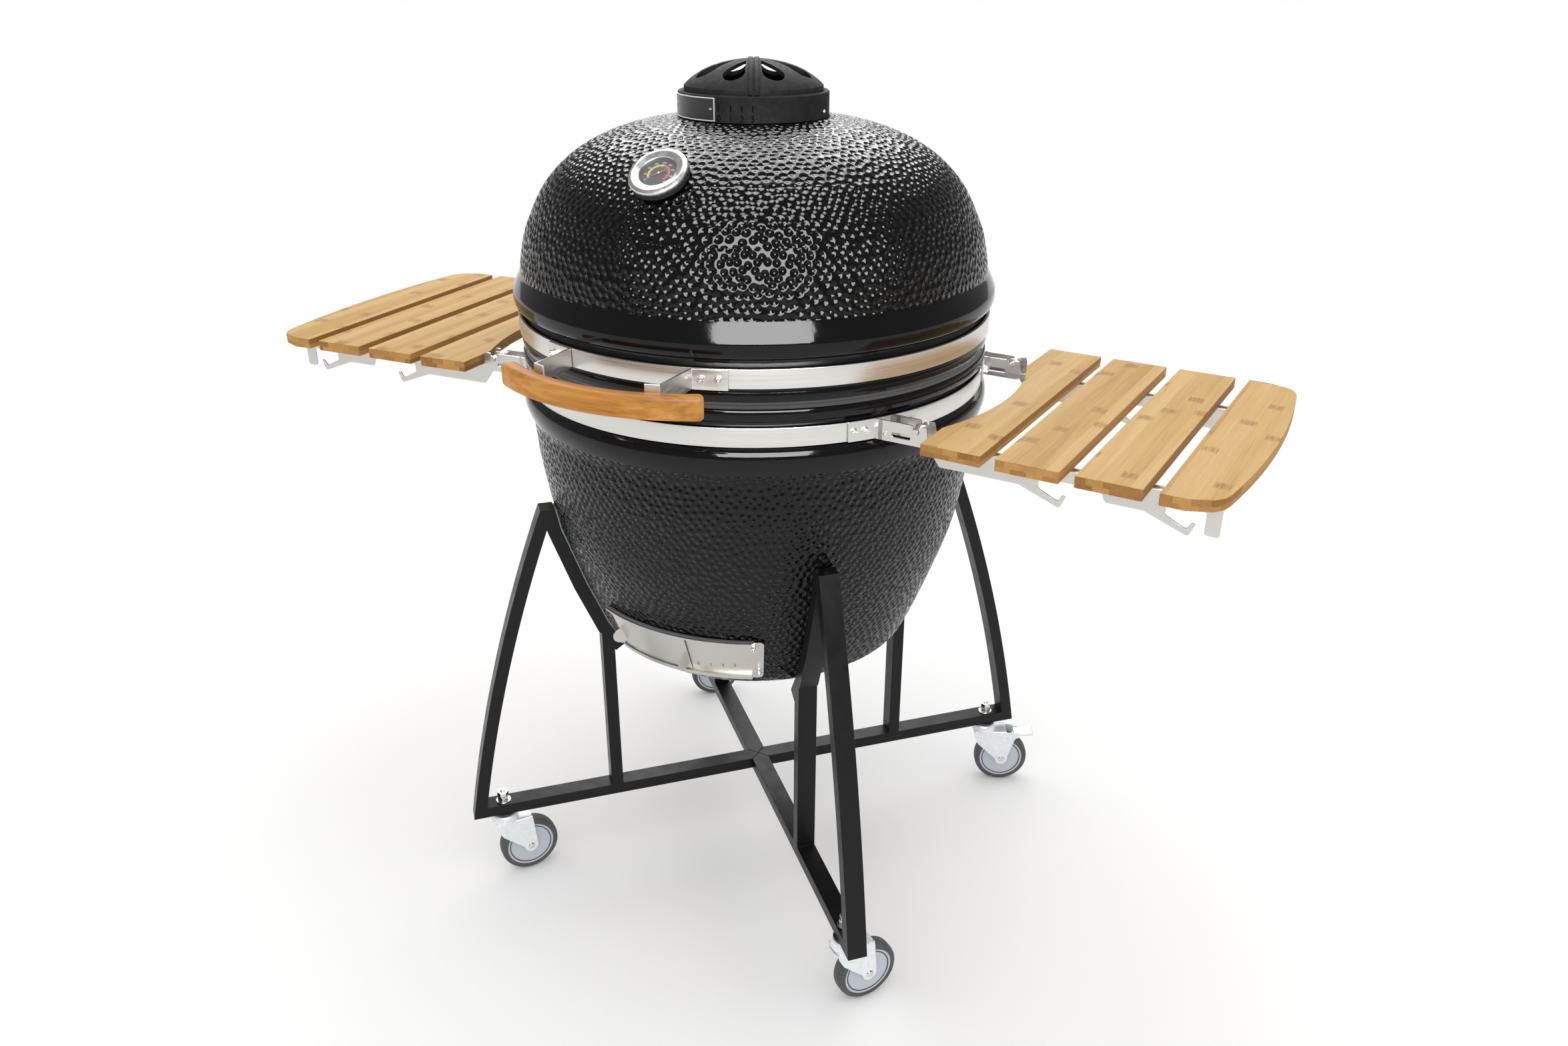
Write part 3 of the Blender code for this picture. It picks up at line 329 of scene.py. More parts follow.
def make_materials():
    made = {
        "glaze": glaze_look(), "zinc": zinc_look(), "hardwood": hardwood_look(),
        "bamboo_right": bamboo("bamboo_right", SPLAY), "bamboo_left": bamboo("bamboo_left", -SPLAY),
        "smooth_glaze": grainy("smooth_glaze", GLAZE, 0.06, rough=(25.0, 3.0, 0.05, 0.12),
                               bump=(70.0, 3.0, 0.00022, 0.6), specular_ior_level=0.28),
        "clay": grainy("fired_clay", (0.5, 0.42, 0.34), 0.9,
                       (30.0, 6.0, (0.4, 0.33, 0.27), (0.58, 0.5, 0.41)),
                       bump=(300.0, 3.0, 0.0004, 1.0)),
        "paint": grainy("powder_coat", (0.0062, 0.0062, 0.007), 0.36, rough=(40.0, 3.0, 0.3, 0.42),
                        bump=(900.0, 2.0, 0.00008, 0.6), specular_ior_level=0.22),
        "cast": grainy("cast_black", (0.016, 0.016, 0.016), 0.7,
                       (70.0, 5.0, (0.011, 0.011, 0.012), (0.022, 0.022, 0.022)),
                       (160.0, 3.0, 0.6, 0.78), (750.0, 3.0, 0.00022, 1.0), specular_ior_level=0.1),
        "felt": grainy("saddle_felt", (0.16, 0.21, 0.26), 0.95,
                       (500.0, 4.0, (0.22, 0.25, 0.28), (0.38, 0.42, 0.45)),
                       bump=(900.0, 3.0, 0.0006, 1.0), sheen_weight=0.4),
        "gasket": grainy("gasket_felt", (0.05, 0.05, 0.05), 0.95, rough=(200.0, 3.0, 0.85, 1.0),
                         bump=(900.0, 3.0, 0.0006, 1.0), sheen_weight=0.3),
        "rubber": grainy("tyre_rubber", (0.06, 0.062, 0.06), 0.6,
                         (60.0, 4.0, (0.048, 0.05, 0.049), (0.078, 0.08, 0.076)),
                         (200.0, 3.0, 0.5, 0.68), (700.0, 2.0, 0.0001, 1.0)),
        "hub": grainy("hub_grey", (0.5, 0.53, 0.58), 0.45, rough=(90.0, 3.0, 0.38, 0.52),
                      bump=(800.0, 2.0, 0.00005, 1.0)),
        # Painted shade: near-black for the thin rings that stand in for the shadow in the caster hubs'
        # grooves.
        "hub_shade_ring": grainy("hub_shade_ring", (0.02, 0.02, 0.022), 0.5, rough=(90.0, 3.0, 0.45, 0.6)),
        "cast_mark": grainy("cast_mark", (0.0015, 0.0015, 0.0015), 0.8, specular_ior_level=0.05),
        "glass": grainy("dial_glass", (0.9, 0.95, 0.95), 0.02, alpha=0.04, specular_ior_level=0.3),
    }
    for name, colour, stretch, low, high in (
        ("band_steel", (0.66, 0.64, 0.61), (3, 3, 500), 0.24, 0.38),
        ("sheet_steel", (0.6, 0.58, 0.55), (40, 40, 260), 0.28, 0.42),
        ("bolt_steel", (0.72, 0.71, 0.69), (80, 80, 80), 0.14, 0.26),
        ("bezel_steel", (0.74, 0.72, 0.69), (120, 120, 120), 0.2, 0.32),
    ):
        made[name] = brushed_steel(name, colour, stretch, low, high)
    for name, piece, colour, roughness in (
        ("dial_face", "dial_face", (0.025, 0.026, 0.026), 0.6),
        ("yellow", "dial_yellow", (0.62, 0.5, 0.05), 0.6),
        ("red", "dial_red", (0.55, 0.06, 0.05), 0.6), ("white", "dial_white", (0.7, 0.7, 0.68), 0.6),
        ("engraving", "engraving", (0.1, 0.095, 0.09), 0.6),
        ("plate_black", "plate_black", (0.012, 0.012, 0.013), 0.3),
        ("plate_rim", "plate_rim", (0.8, 0.8, 0.8), 0.35), ("bushing", "bushing", (0.02, 0.02, 0.02), 0.5),
    ):
        made[name] = grainy(piece, colour, roughness)
    return made


# ------------------------------------------------------------------ shape helpers

def move(x, y, z):
    return Matrix.Translation((x, y, z))


def spin(angle, axis="Z"):
    """A turn by an angle in degrees."""
    return Matrix.Rotation(radians(angle), 4, axis)


def mesh_from(bm):
    bmesh.ops.recalc_face_normals(bm, faces=bm.faces)
    mesh = bpy.data.meshes.new("shape")
    bm.to_mesh(mesh)
    bm.free()
    return mesh


def moved(mesh, matrix):
    mesh.transform(matrix)
    if matrix.determinant() < 0:
        mesh.flip_normals()
    return mesh


def merged(*meshes):
    bm = bmesh.new()
    for mesh in meshes:
        bm.from_mesh(mesh)
    mesh = bpy.data.meshes.new("merged")
    bm.to_mesh(mesh)
    bm.free()
    return mesh


def turned(profile, steps=128, on_axis=False):
    """A profile spun once round Z. on_axis is for one that starts and ends on the axis."""
    bm = bmesh.new()
    points = [bm.verts.new((0.0, -radius, height)) for radius, height in profile]
    edges = [bm.edges.new(pair) for pair in zip(points, points[1:])]
    if not on_axis:
        edges.append(bm.edges.new((points[-1], points[0])))
    bmesh.ops.spin(
        bm, geom=points + edges, cent=(0, 0, 0), axis=(0, 0, 1), angle=tau, steps=steps,
        use_merge=True, use_normal_flip=False, use_duplicate=False,
    )
    bmesh.ops.remove_doubles(bm, verts=bm.verts, dist=1e-6)
    bmesh.ops.dissolve_degenerate(bm, dist=1e-7, edges=bm.edges)
    return mesh_from(bm)


def plate(loops, low, high):
    """Outlines in the XY plane, the first the outer one and the others holes, made solid from low to high."""
    bm = bmesh.new()
    edges = []
    for loop in loops:
        points = [bm.verts.new((x, y, low)) for x, y in loop]
        edges += [bm.edges.new((points[i - 1], points[i])) for i in range(len(points))]
    if len(loops) == 1:
        faces = [bm.faces.new([edge.verts[1] for edge in edges])]
    else:
        filled = bmesh.ops.triangle_fill(bm, use_beauty=True, edges=edges)
        faces = [piece for piece in filled["geom"] if isinstance(piece, bmesh.types.BMFace)]
    raised = bmesh.ops.extrude_face_region(bm, geom=faces)
    points = [piece for piece in raised["geom"] if isinstance(piece, bmesh.types.BMVert)]
    bmesh.ops.translate(bm, vec=(0, 0, high - low), verts=points)
    return mesh_from(bm)


UPRIGHT_ALONG_X = spin(90, "X")     # stands up an outline drawn in (x, height)
UPRIGHT_ALONG_Y = Matrix(((0, 0, 1, 0), (1, 0, 0, 0), (0, 1, 0, 0), (0, 0, 0, 1)))   # and one in (y, height)


def upright(loops, low, high):
    """Outlines drawn in (x, height), made solid from low to high along -Y."""
    return moved(plate(loops, low, high), UPRIGHT_ALONG_X)


def circle(radius, steps, centre=(0.0, 0.0)):
    turns = [tau * i / steps for i in range(steps)]
    return [(centre[0] + radius * cos(t), centre[1] + radius * sin(t)) for t in turns]


def fillet(points, radius, steps=4):
    """A closed outline with each corner rounded, by less where an edge is short."""
    rounded = []
    for i, point in enumerate(points):
        here = Vector(point)
        before, after = Vector(points[i - 1]), Vector(points[(i + 1) % len(points)])
        back, ahead = before - here, after - here
        turn = back.angle(ahead)
        if turn > radians(172):
            rounded.append(tuple(here))
            continue
        reach = min(radius / tan(turn / 2), 0.45 * back.length, 0.45 * ahead.length)
        start, end = here + back.normalized() * reach, here + ahead.normalized() * reach
        for j in range(steps + 1):
            t = j / steps
            rounded.append(tuple((1 - t) ** 2 * start + 2 * t * (1 - t) * here + t ** 2 * end))
    return rounded


def wire(points, radius, closed=False, sides=3):
    """A round bar along a path."""
    curve = bpy.data.curves.new("wire", "CURVE")
    curve.dimensions = "3D"
    curve.bevel_depth = radius
    curve.bevel_resolution = sides
    curve.use_fill_caps = True
    spline = curve.splines.new("POLY")
    spline.points.add(len(points) - 1)
    for knot, point in zip(spline.points, points):
        knot.co = (*point, 1.0)
    spline.use_cyclic_u = closed
    return evaluated(curve)


def evaluated(data, *steps):
    """The final mesh of a curve, a text or a mesh. Each step is a modifier's kind and its settings."""
    holder = bpy.data.objects.new("holder", data)
    bpy.context.scene.collection.objects.link(holder)
    for kind, settings in steps:
        step = holder.modifiers.new(kind, kind)
        for key, value in settings.items():
            setattr(step, key, value)
    bpy.context.view_layer.update()
    mesh = bpy.data.meshes.new_from_object(holder.evaluated_get(bpy.context.evaluated_depsgraph_get()))
    bpy.data.objects.remove(holder)
    return mesh


def digits(text, size, depth=0.0003):
    """Raised figures, centred on the origin in the XY plane and facing +Z."""
    curve = bpy.data.curves.new("digits", "FONT")
    curve.body = text
    curve.size = size
    curve.extrude = depth
    curve.align_x = "CENTER"
    curve.align_y = "CENTER"
    return evaluated(curve)


def cut(mesh, cutter):
    tool = bpy.data.objects.new("tool", cutter)
    bpy.context.scene.collection.objects.link(tool)
    result = evaluated(mesh, ("BOOLEAN", {"operation": "DIFFERENCE", "solver": "EXACT", "object": tool}))
    bpy.data.objects.remove(tool)
    return result


def hex_bolt(across, height, washer=0.0, dome=0.0):
    """A hex head standing on z = 0, with a washer under it and the bolt's end over it."""
    parts = [plate([circle(across / 2 / cos(pi / 6), 6)], washer, washer + height)]
    if washer:
        parts.append(plate([circle(across * 0.72, 24)], 0.0, washer))
    if dome:
        top = washer + height
        profile = [(0, top + dome), (across * 0.18, top + dome * 0.9), (across * 0.25, top + dome * 0.5),
                   (across * 0.25, top - 0.001), (0, top - 0.001)]
        parts.append(turned(profile, 16, True))
    return merged(*parts)


def domed_screw(radius, height):
    profile = [(0, height), (radius * 0.5, height * 0.93), (radius * 0.85, height * 0.6), (radius, 0.0),
               (0, 0)]
    return turned(profile, 20, True)


def outward(azimuth, radius, height, lean=0.0):
    """The matrix that stands a shape's +Z out of the body at an azimuth, with +Y up. lean tips +Z down."""
    angle = radians(azimuth)
    out = Vector((sin(angle), -cos(angle), 0.0))
    up = Vector((0, 0, 1))
    aside = up.cross(out)
    place = Matrix.Translation(out * radius + up * height)
    tip = Matrix.Rotation(lean, 4, aside)
    basis = Matrix((aside, up, out)).transposed().to_4x4()
    return place @ tip @ basis


def offset_path(path, distance):
    result = []
    for i, point in enumerate(path):
        sides = []
        for a, b in ((i - 1, i), (i, i + 1)):
            if a >= 0 and b < len(path):
                along = (Vector(path[b]) - Vector(path[a])).normalized()
                sides.append(Vector((along.y, -along.x)))
        normal = sum(sides, Vector((0, 0))).normalized()
        result.append(tuple(Vector(point) + normal * distance / normal.dot(sides[0])))
    return result


def ribbon(path, thickness):
    return offset_path(path, thickness / 2) + offset_path(path, -thickness / 2)[::-1]


def arc_xy(radius, start, end, steps):
    angles = [radians(start + (end - start) * i / steps) for i in range(steps + 1)]
    return [(radius * cos(a), radius * sin(a)) for a in angles]


def radius_at(profile, height):
    heights = [z for _, z in profile]
    return float(np.interp(height, heights, [r for r, _ in profile]))


def stretch(profile, bottom, top):
    middle = [(r, z) for r, z in profile if bottom < z < top]
    return [(radius_at(profile, bottom), bottom), *middle, (radius_at(profile, top), top)]


def smooth_curve(points, spacing):
    """Points at an even spacing on a smooth curve through the given ones."""
    knots = np.array(points, float)
    knots = np.vstack([2 * knots[0] - knots[1], knots, 2 * knots[-1] - knots[-2]])
    dense = []
    for i in range(1, len(knots) - 2):
        a, b, c, d = knots[i - 1:i + 3]
        for t in np.linspace(0, 1, 24, endpoint=False):
            dense.append(0.5 * (2 * b + (c - a) * t + (2 * a - 5 * b + 4 * c - d) * t ** 2
                                + (3 * b - a - 3 * c + d) * t ** 3))
    dense = np.array([*dense, knots[-2]])
    steps = np.r_[0, np.cumsum(np.linalg.norm(np.diff(dense, axis=0), axis=1))]
    count = max(2, round(steps[-1] / spacing) + 1)
    at = np.linspace(0, steps[-1], count)
    return np.column_stack([np.interp(at, steps, dense[:, 0]), np.interp(at, steps, dense[:, 1])])


def show(name, mesh, look, body, *stands_for, bevel=0.0, sharp=35.0, segments=2):
    """Adds a piece that moves with a body and stands for CAD nodes."""
    piece = bpy.data.objects.new(name, mesh)
    bpy.context.scene.collection.objects.link(piece)
    if not mesh.materials:
        mesh.materials.append(LOOKS[look])
    mesh.shade_smooth()
    mesh.set_sharp_from_angle(angle=radians(sharp))
    if bevel:
        edge = piece.modifiers.new("edges", "BEVEL")
        edge.width = bevel
        edge.segments = segments
        edge.limit_method = "ANGLE"
        edge.angle_limit = radians(35)
        edge.harden_normals = True
    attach(piece, body)
    if stands_for:
        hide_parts(*stands_for)
    return piece


# ------------------------------------------------------------------ textured ceramic

def dimple_steps():
    """A modifier that sinks each dimple, on the same pattern of cells as the glaze."""
    tree = bpy.data.node_groups.new("dimples", "GeometryNodeTree")
    for way in ("INPUT", "OUTPUT"):
        tree.interface.new_socket("Geometry", in_out=way, socket_type="NodeSocketGeometry")
    start = add_node(tree, "NodeGroupInput", {}).outputs[0]
    place = tree.nodes.new("GeometryNodeInputNamedAttribute")
    place.data_type = "FLOAT_VECTOR"
    place.inputs["Name"].default_value = "cell_place"
    place = place.outputs["Attribute"]
    weight = add_node(tree, "ShaderNodeSeparateXYZ", {0: place}).outputs["Z"]
    depth = calculate(tree, "MULTIPLY", dimple_depth(tree, place), weight)
    sunk = calculate(tree, "MULTIPLY", depth, -DIMPLE_DEPTH)
    normal = tree.nodes.new("GeometryNodeInputNormal").outputs[0]
    push = add_node(tree, "ShaderNodeVectorMath", {0: normal, "Scale": sunk}, operation="SCALE").outputs[0]
    shift = add_node(tree, "GeometryNodeSetPosition", {"Geometry": start, "Offset": push}).outputs[0]
    add_node(tree, "NodeGroupOutput", {0: shift})
    return tree


def cells_round(radius):
    """How many cells go round at a radius: the same number over each band of heights."""
    return 24 * max(1, round(tau * radius / CELL_WIDE / 24))


def ceramic_shell(rows, textured, inside_from, window=None):
    """A closed turned shell. rows are its profile, textured says which rows are dimpled, inside_from is the
    first row of unglazed clay and window is a hole (azimuths, outer rows and inner rows). A profile that
    ends near where it starts makes a ring; any other is closed with flat discs. The seam is at the back."""
    rows = np.array(rows)
    turns = np.arange(ROUND) * tau / ROUND - pi
    points = np.empty((len(rows), ROUND, 3))
    points[:, :, 0] = rows[:, :1] * np.sin(turns)
    points[:, :, 1] = -rows[:, :1] * np.cos(turns)
    points[:, :, 2] = rows[:, 1:]
    first, last = textured
    steps = np.linalg.norm(np.diff(rows, axis=0), axis=1)
    along = np.r_[0, np.cumsum(steps)] / CELL_TALL
    counts = np.array([cells_round(r) for r in rows[:, 0]])
    place = np.zeros((len(rows), ROUND, 3))
    place[:, :, 0] = counts[:, None] * np.arange(ROUND) / ROUND
    place[:, :, 1] = along[:, None]
    from_start = np.arange(last - first)
    place[first:last, :, 2] = np.clip(np.minimum(from_start, from_start[::-1]) / 2.0, 0, 1)[:, None]

    index = np.arange(len(rows) * ROUND).reshape(len(rows), ROUND)
    keep = np.ones((len(rows), ROUND), bool)
    closing = []
    if window:
        west, east, outer_rows, inner_rows = window
        columns = [(column + ROUND // 2) % ROUND for column in range(west, east + 1)]
        for low, high in (outer_rows, inner_rows):
            keep[low:high, columns[:-1]] = False
        (outer_low, outer_high), (inner_low, inner_high) = outer_rows, inner_rows
        for a, b in zip(columns, columns[1:]):
            for outer, inner, (one, two) in ((outer_low, inner_high, (a, b)),
                                             (outer_high, inner_low, (b, a))):
                closing.append([index[outer, one], index[outer, two], index[inner, two], index[inner, one]])
        for column, order in ((columns[0], 1), (columns[-1], -1)):
            loop = [index[row, column] for row in range(outer_low, outer_high + 1)]
            loop += [index[row, column] for row in range(inner_low, inner_high + 1)]
            closing.append(loop[::-order])
    right = np.roll(index, -1, axis=1)
    wraps = np.roll(index, -1, axis=0), np.roll(right, -1, axis=0)
    closed = abs(rows[0, 1] - rows[-1, 1]) < 0.001
    count = len(rows) if closed else len(rows) - 1
    quads = np.stack([index, right, wraps[1], wraps[0]], axis=-1)[:count][keep[:count]]
    row_of = np.repeat(np.arange(count)[:, None], ROUND, axis=1)[keep[:count]]
    faces = quads.tolist() + closing
    if not closed:
        faces.append(index[0, ::-1].tolist())
        faces.append(index[-1].tolist())
    mesh = bpy.data.meshes.new("shell")
    mesh.from_pydata(points.reshape(-1, 3).tolist(), [], faces)
    slots = np.zeros(len(faces), np.int32)
    slots[:len(quads)][(row_of < first - 1) | (row_of >= last)] = 1
    slots[:len(quads)][row_of >= inside_from] = 2
    slots[len(quads):] = 2
    if not closed:
        slots[-2] = 1
    for look in ("glaze", "smooth_glaze", "clay"):
        mesh.materials.append(LOOKS[look])
    mesh.polygons.foreach_set("material_index", slots)
    mesh.attributes.new("cell_place", "FLOAT_VECTOR", "POINT").data.foreach_set("vector", place.ravel())
    column_of = np.broadcast_to(np.arange(ROUND), (count, ROUND))[keep[:count]]
    across = np.stack([column_of, column_of + 1, column_of + 1, column_of], axis=1) / ROUND
    low, high = along[row_of], along[(row_of + 1) % len(rows)]
    up = np.stack([low, low, high, high], axis=1)
    corners = np.zeros((len(mesh.loops), 2))
    corners[:4 * len(quads), 0] = (across * counts[row_of][:, None]).ravel()
    corners[:4 * len(quads), 1] = up.ravel()
    mesh.uv_layers.new(name="cells").data.foreach_set("uv", corners.ravel())
    mesh.update()
    return evaluated(mesh, ("NODES", {"node_group": dimple_steps()}))


def joined(*parts):
    """The parts of a profile in one list, and the row where each part starts."""
    starts, rows = [], []
    for part in parts:
        starts.append(len(rows))
        rows += [tuple(point) for point in part]
    return rows, starts


def build_bowl():
    side = smooth_curve(BOWL_SIDE, ROW)
    west, east, bottom, top = DRAFT_WINDOW
    inside = BOWL_INSIDE + [(radius_at(BOWL_INSIDE[::-1], height), height) for height in (top, bottom)]
    inside.sort(key=lambda point: (-point[1], -point[0]))
    rows, (_, side_at, rim_at, inside_at) = joined(BOWL_FOOT, side, BOWL_RIM, inside)
    heights = [z for _, z in rows]

    def nearest(first, last, height):
        return min(range(first, last), key=lambda i: abs(heights[i] - height))

    outer_rows = nearest(side_at, rim_at, bottom), nearest(side_at, rim_at, top)
    inner_rows = nearest(inside_at, len(rows), top), nearest(inside_at, len(rows), bottom)
    window = (round(west * ROUND / 360), round(east * ROUND / 360), outer_rows, inner_rows)
    mesh = ceramic_shell(rows, (side_at, rim_at), inside_at, window)
    show("bowl_shell", mesh, "glaze", "base", "base_bowl", sharp=60)


def build_dome():
    side = smooth_curve(DOME_SIDE, ROW)
    rows, (_, side_at, top_at, inside_at) = joined(DOME_RIM, side, DOME_TOP, DOME_INSIDE)
    mesh = ceramic_shell(rows, (side_at, top_at), inside_at)
    show("dome_shell", mesh, "glaze", "lid", "lid_dome", sharp=60)


def soft_ring(inner, outer, bottom, top, edge=0.0008, steps=160):
    corners = [(outer, bottom), (outer, top), (inner, top), (inner, bottom)]
    return turned(fillet(corners, edge, 3), steps)


def box(x_low, y_low, x_high, y_high):
    return [(x_low, y_low), (x_high, y_low), (x_high, y_high), (x_low, y_high)]


def build_bands():
    show("base_band_steel", soft_ring(0.3466, 0.349, 0.8773, 0.9045), "band_steel", "base", "base_band")
    show("lid_band_steel", soft_ring(0.3508, 0.355, 0.9596, 0.9859), "band_steel", "lid", "lid_band")
    show("base_gasket_felt", soft_ring(0.327, 0.35, 0.9303, 0.9356, 0.002), "gasket", "base", "base_gasket")
    show("lid_gasket_felt", soft_ring(0.327, 0.35, 0.9362, 0.9407, 0.002), "gasket", "lid", "lid_gasket")


# ------------------------------------------------------------------ inside the grill

FIRE_BOX = [
    (0.19, 0.4735), (0.213, 0.479), (0.226, 0.487), (0.252, 0.56), (0.272, 0.66),
    (0.282, 0.74), (0.262, 0.74), (0.252, 0.66), (0.232, 0.575), (0.215, 0.5505),
    (0.19, 0.5505), (0.19, 0.53), (0.176, 0.496), (0.17, 0.4735),
]
FIRE_RING = [
    (0.283, 0.7403), (0.3, 0.8), (0.305, 0.885), (0.285, 0.885), (0.28, 0.8), (0.263, 0.7403),
]


def build_inside():
    show("fire_box_clay", turned(fillet(FIRE_BOX, 0.004, 3), 96), "clay", "base", "fire_box")
    show("fire_ring_clay", turned(fillet(FIRE_RING, 0.004, 3), 96), "clay", "base", "fire_ring")
    bars, bar_pitch, bar_circle = [], 0.0215, 0.296
    for i in range(27):
        x = (i - 13) * bar_pitch
        half = sqrt(bar_circle ** 2 - x * x)
        bars.append(wire([(x, -half, 0.8898), (x, half, 0.8898)], 0.0022))
    for y in (-0.16, 0.16):
        half = sqrt(bar_circle ** 2 - y * y)
        bars.append(wire([(-half, y, 0.8872), (half, y, 0.8872)], 0.0018))
    rim = [(0.2965 * cos(t), 0.2965 * sin(t), 0.8889) for t in np.linspace(0, tau, 96, endpoint=False)]
    bars.append(wire(rim, 0.0034, closed=True))
    show("cooking_grate_wire", merged(*bars), "bolt_steel", "base", "cooking_grate")
    holes = [circle(0.0085, 12, (r * cos(t), r * sin(t)))
             for r, n in ((0.035, 6), (0.07, 12), (0.105, 18), (0.14, 24), (0.175, 30))
             for t in np.linspace(0, tau, n, endpoint=False)]
    show("charcoal_grate_cast", plate([circle(0.2105, 72), *holes], 0.551, 0.5586), "cast", "base",
         "charcoal_grate")


# ------------------------------------------------------------------ air inlet

def wrapped(west, east, bottom, top, near, far, corner=0.0, steps=48):
    """A plate that follows the bowl, as a rounded outline in azimuth and height pushed out of the surface."""
    middle = (bottom + top) / 2
    reach = radius_at(BOWL_SIDE, middle)
    width = radians(east - west) * reach
    height = top - bottom
    outline = fillet([(0, 0), (width, 0), (width, height), (0, height)], corner or 0.0001, 5)
    bm = bmesh.new()
    face = bm.faces.new([bm.verts.new((x, y, 0)) for x, y in outline])
    bmesh.ops.triangulate(bm, faces=[face])
    for i in range(1, steps):
        bmesh.ops.bisect_plane(bm, geom=bm.verts[:] + bm.edges[:] + bm.faces[:],
                               plane_co=(width * i / steps, 0, 0), plane_no=(1, 0, 0))
    raised = bmesh.ops.extrude_face_region(bm, geom=bm.faces[:])
    upper = {piece for piece in raised["geom"] if isinstance(piece, bmesh.types.BMVert)}
    for vert in bm.verts:
        azimuth = radians(west) + vert.co.x / reach
        z = bottom + vert.co.y
        radius = radius_at(BOWL_SIDE, z) + (far if vert in upper else near)
        vert.co = (radius * sin(azimuth), -radius * cos(azimuth), z)
    return mesh_from(bm)


def leaf_tab(azimuth, height):
    """A thumb leaf: a thin round-ended plate standing out of the door, turned a little to the left."""
    outline = [(-0.004, -0.013), (0.006, -0.0125), (0.013, -0.009), (0.0172, -0.0035), (0.0178, 0.002),
               (0.015, 0.0085), (0.009, 0.012), (-0.004, 0.013)]
    leaf = upright([fillet(outline, 0.004, 3)], -0.0007, 0.0007)
    turn = spin(azimuth - 106) @ spin(22, "Y")
    radius = radius_at(BOWL_SIDE, height) + 0.006
    return moved(leaf, Matrix.Translation(outward(azimuth, radius, height).translation) @ turn)


def build_draft():
    west, east, bottom, top = DRAFT_PLATE
    window_west, window_east, window_bottom, window_top = DRAFT_WINDOW
    sheet, track = (0.001, 0.003), (0.0026, 0.0086)    # distances from the bowl, inside and outside
    sheets = [
        wrapped(window_east, east, bottom, top, *sheet, 0.008),
        wrapped(west, window_west, bottom, top, *sheet, 0.002),
        wrapped(west, east - 1, bottom, window_bottom, *sheet, 0.002),
        wrapped(west, east - 1, window_top, top, *sheet, 0.002),
        wrapped(west, east - 3.6, top - 0.0035, top, *track, 0.0012),
        wrapped(west, east - 3.6, bottom, bottom + 0.0072, *track, 0.0012),
    ]
    show("draft_frame_sheet", merged(*sheets), "sheet_steel", "base", "draft_frame", bevel=0.0007)
    seal = wrapped(west, east - 3.0, top - 0.002, top + 0.0022, 0.0003, 0.0042)
    show("draft_seal", seal, "gasket", "base", bevel=0.0008)
    lean = radians(22)     # of the bowl's side
    screws = []
    for azimuth, height in ((27.4, 0.539), (29.0, 0.486), (-23.0, 0.486)):
        radius = radius_at(BOWL_SIDE, height) + 0.0028
        nut = moved(hex_bolt(0.0078, 0.005, 0.001, 0.0012), Matrix.Rotation(azimuth, 4, "Z"))
        end = plate([circle(0.0024, 20)], 0.004, 0.0092)
        screws.append(moved(merged(nut, end), outward(azimuth, radius, height, lean)))
    show("draft_screws", merged(*screws), "bolt_steel", "base", bevel=0.0003)
    marks = []
    for number, azimuth in enumerate((9.0, 13.4, 17.4, 21.3)):
        height = 0.492 + 0.0017 * number
        radius = radius_at(BOWL_SIDE, height) + 0.0031
        marks.append(moved(digits(str(number), 0.0095, 0.0001), outward(azimuth, radius, height, lean)))
    show("draft_digits", merged(*marks), "engraving", "base")

    west, east, bottom, top = DOOR_PLATE
    door = [wrapped(west, east, bottom, top, 0.0044, 0.006, 0.002), leaf_tab(-20.8, 0.503),
            leaf_tab(5.3, 0.498)]
    show("draft_door_sheet", merged(*door), "sheet_steel", "draft_door", "draft_door", bevel=0.0003)


# ------------------------------------------------------------------ cart

def frame_loops():
    foot, head = Vector((FRAME_REACH, BEAM_BOTTOM)), Vector((LEG_TOP_RADIUS, FRAME_TOP))
    chord = head - foot
    bow = chord.length ** 2 / (8 * LEG_BULGE) + LEG_BULGE / 2
    side = Vector((chord.y, -chord.x)).normalized()
    centre = (foot + head) / 2 - side * (bow - LEG_BULGE)

    def leg(height, depth=0.0):
        return centre.x + sqrt((bow - depth) ** 2 - (height - centre.y) ** 2)

    inner, outer = offset_path(CRADLE, 0.0035), offset_path(CRADLE, 0.0035 + TUBE_DEPTH)
    low, high = 0.6, 0.68
    for _ in range(40):
        apex = (low + high) / 2
        low, high = (apex, high) if leg(apex, TUBE_DEPTH) > radius_at(outer, apex) else (low, apex)
    post_top = next(z / 1e4 for z in range(4300, 5200) if radius_at(outer, z / 1e4) > POST_OUTER)
    beam_top = BEAM_BOTTOM + TUBE_DEPTH
    rise = FRAME_TOP - BEAM_BOTTOM
    outline = [(0.0, BEAM_BOTTOM), tuple(foot)]
    outline += [(leg(BEAM_BOTTOM + rise * i / 20), BEAM_BOTTOM + rise * i / 20) for i in range(1, 20)]
    outline += [tuple(head)] + stretch(inner, 0.472, FRAME_TOP)[::-1]
    outline += [(0.232, 0.429), (0.2485, 0.4175), (0.25, 0.42)]
    outline += [(POST_OUTER - TUBE_DEPTH, beam_top), (0.0, beam_top)]
    opening = [(POST_OUTER, beam_top), (leg(beam_top, TUBE_DEPTH), beam_top)]
    opening += [(leg(z, TUBE_DEPTH), z) for z in np.linspace(0.17, 0.625, 18)]
    opening.append((leg(apex, TUBE_DEPTH), apex))
    opening += stretch(outer, post_top, apex)[-2::-1]
    return outline, opening


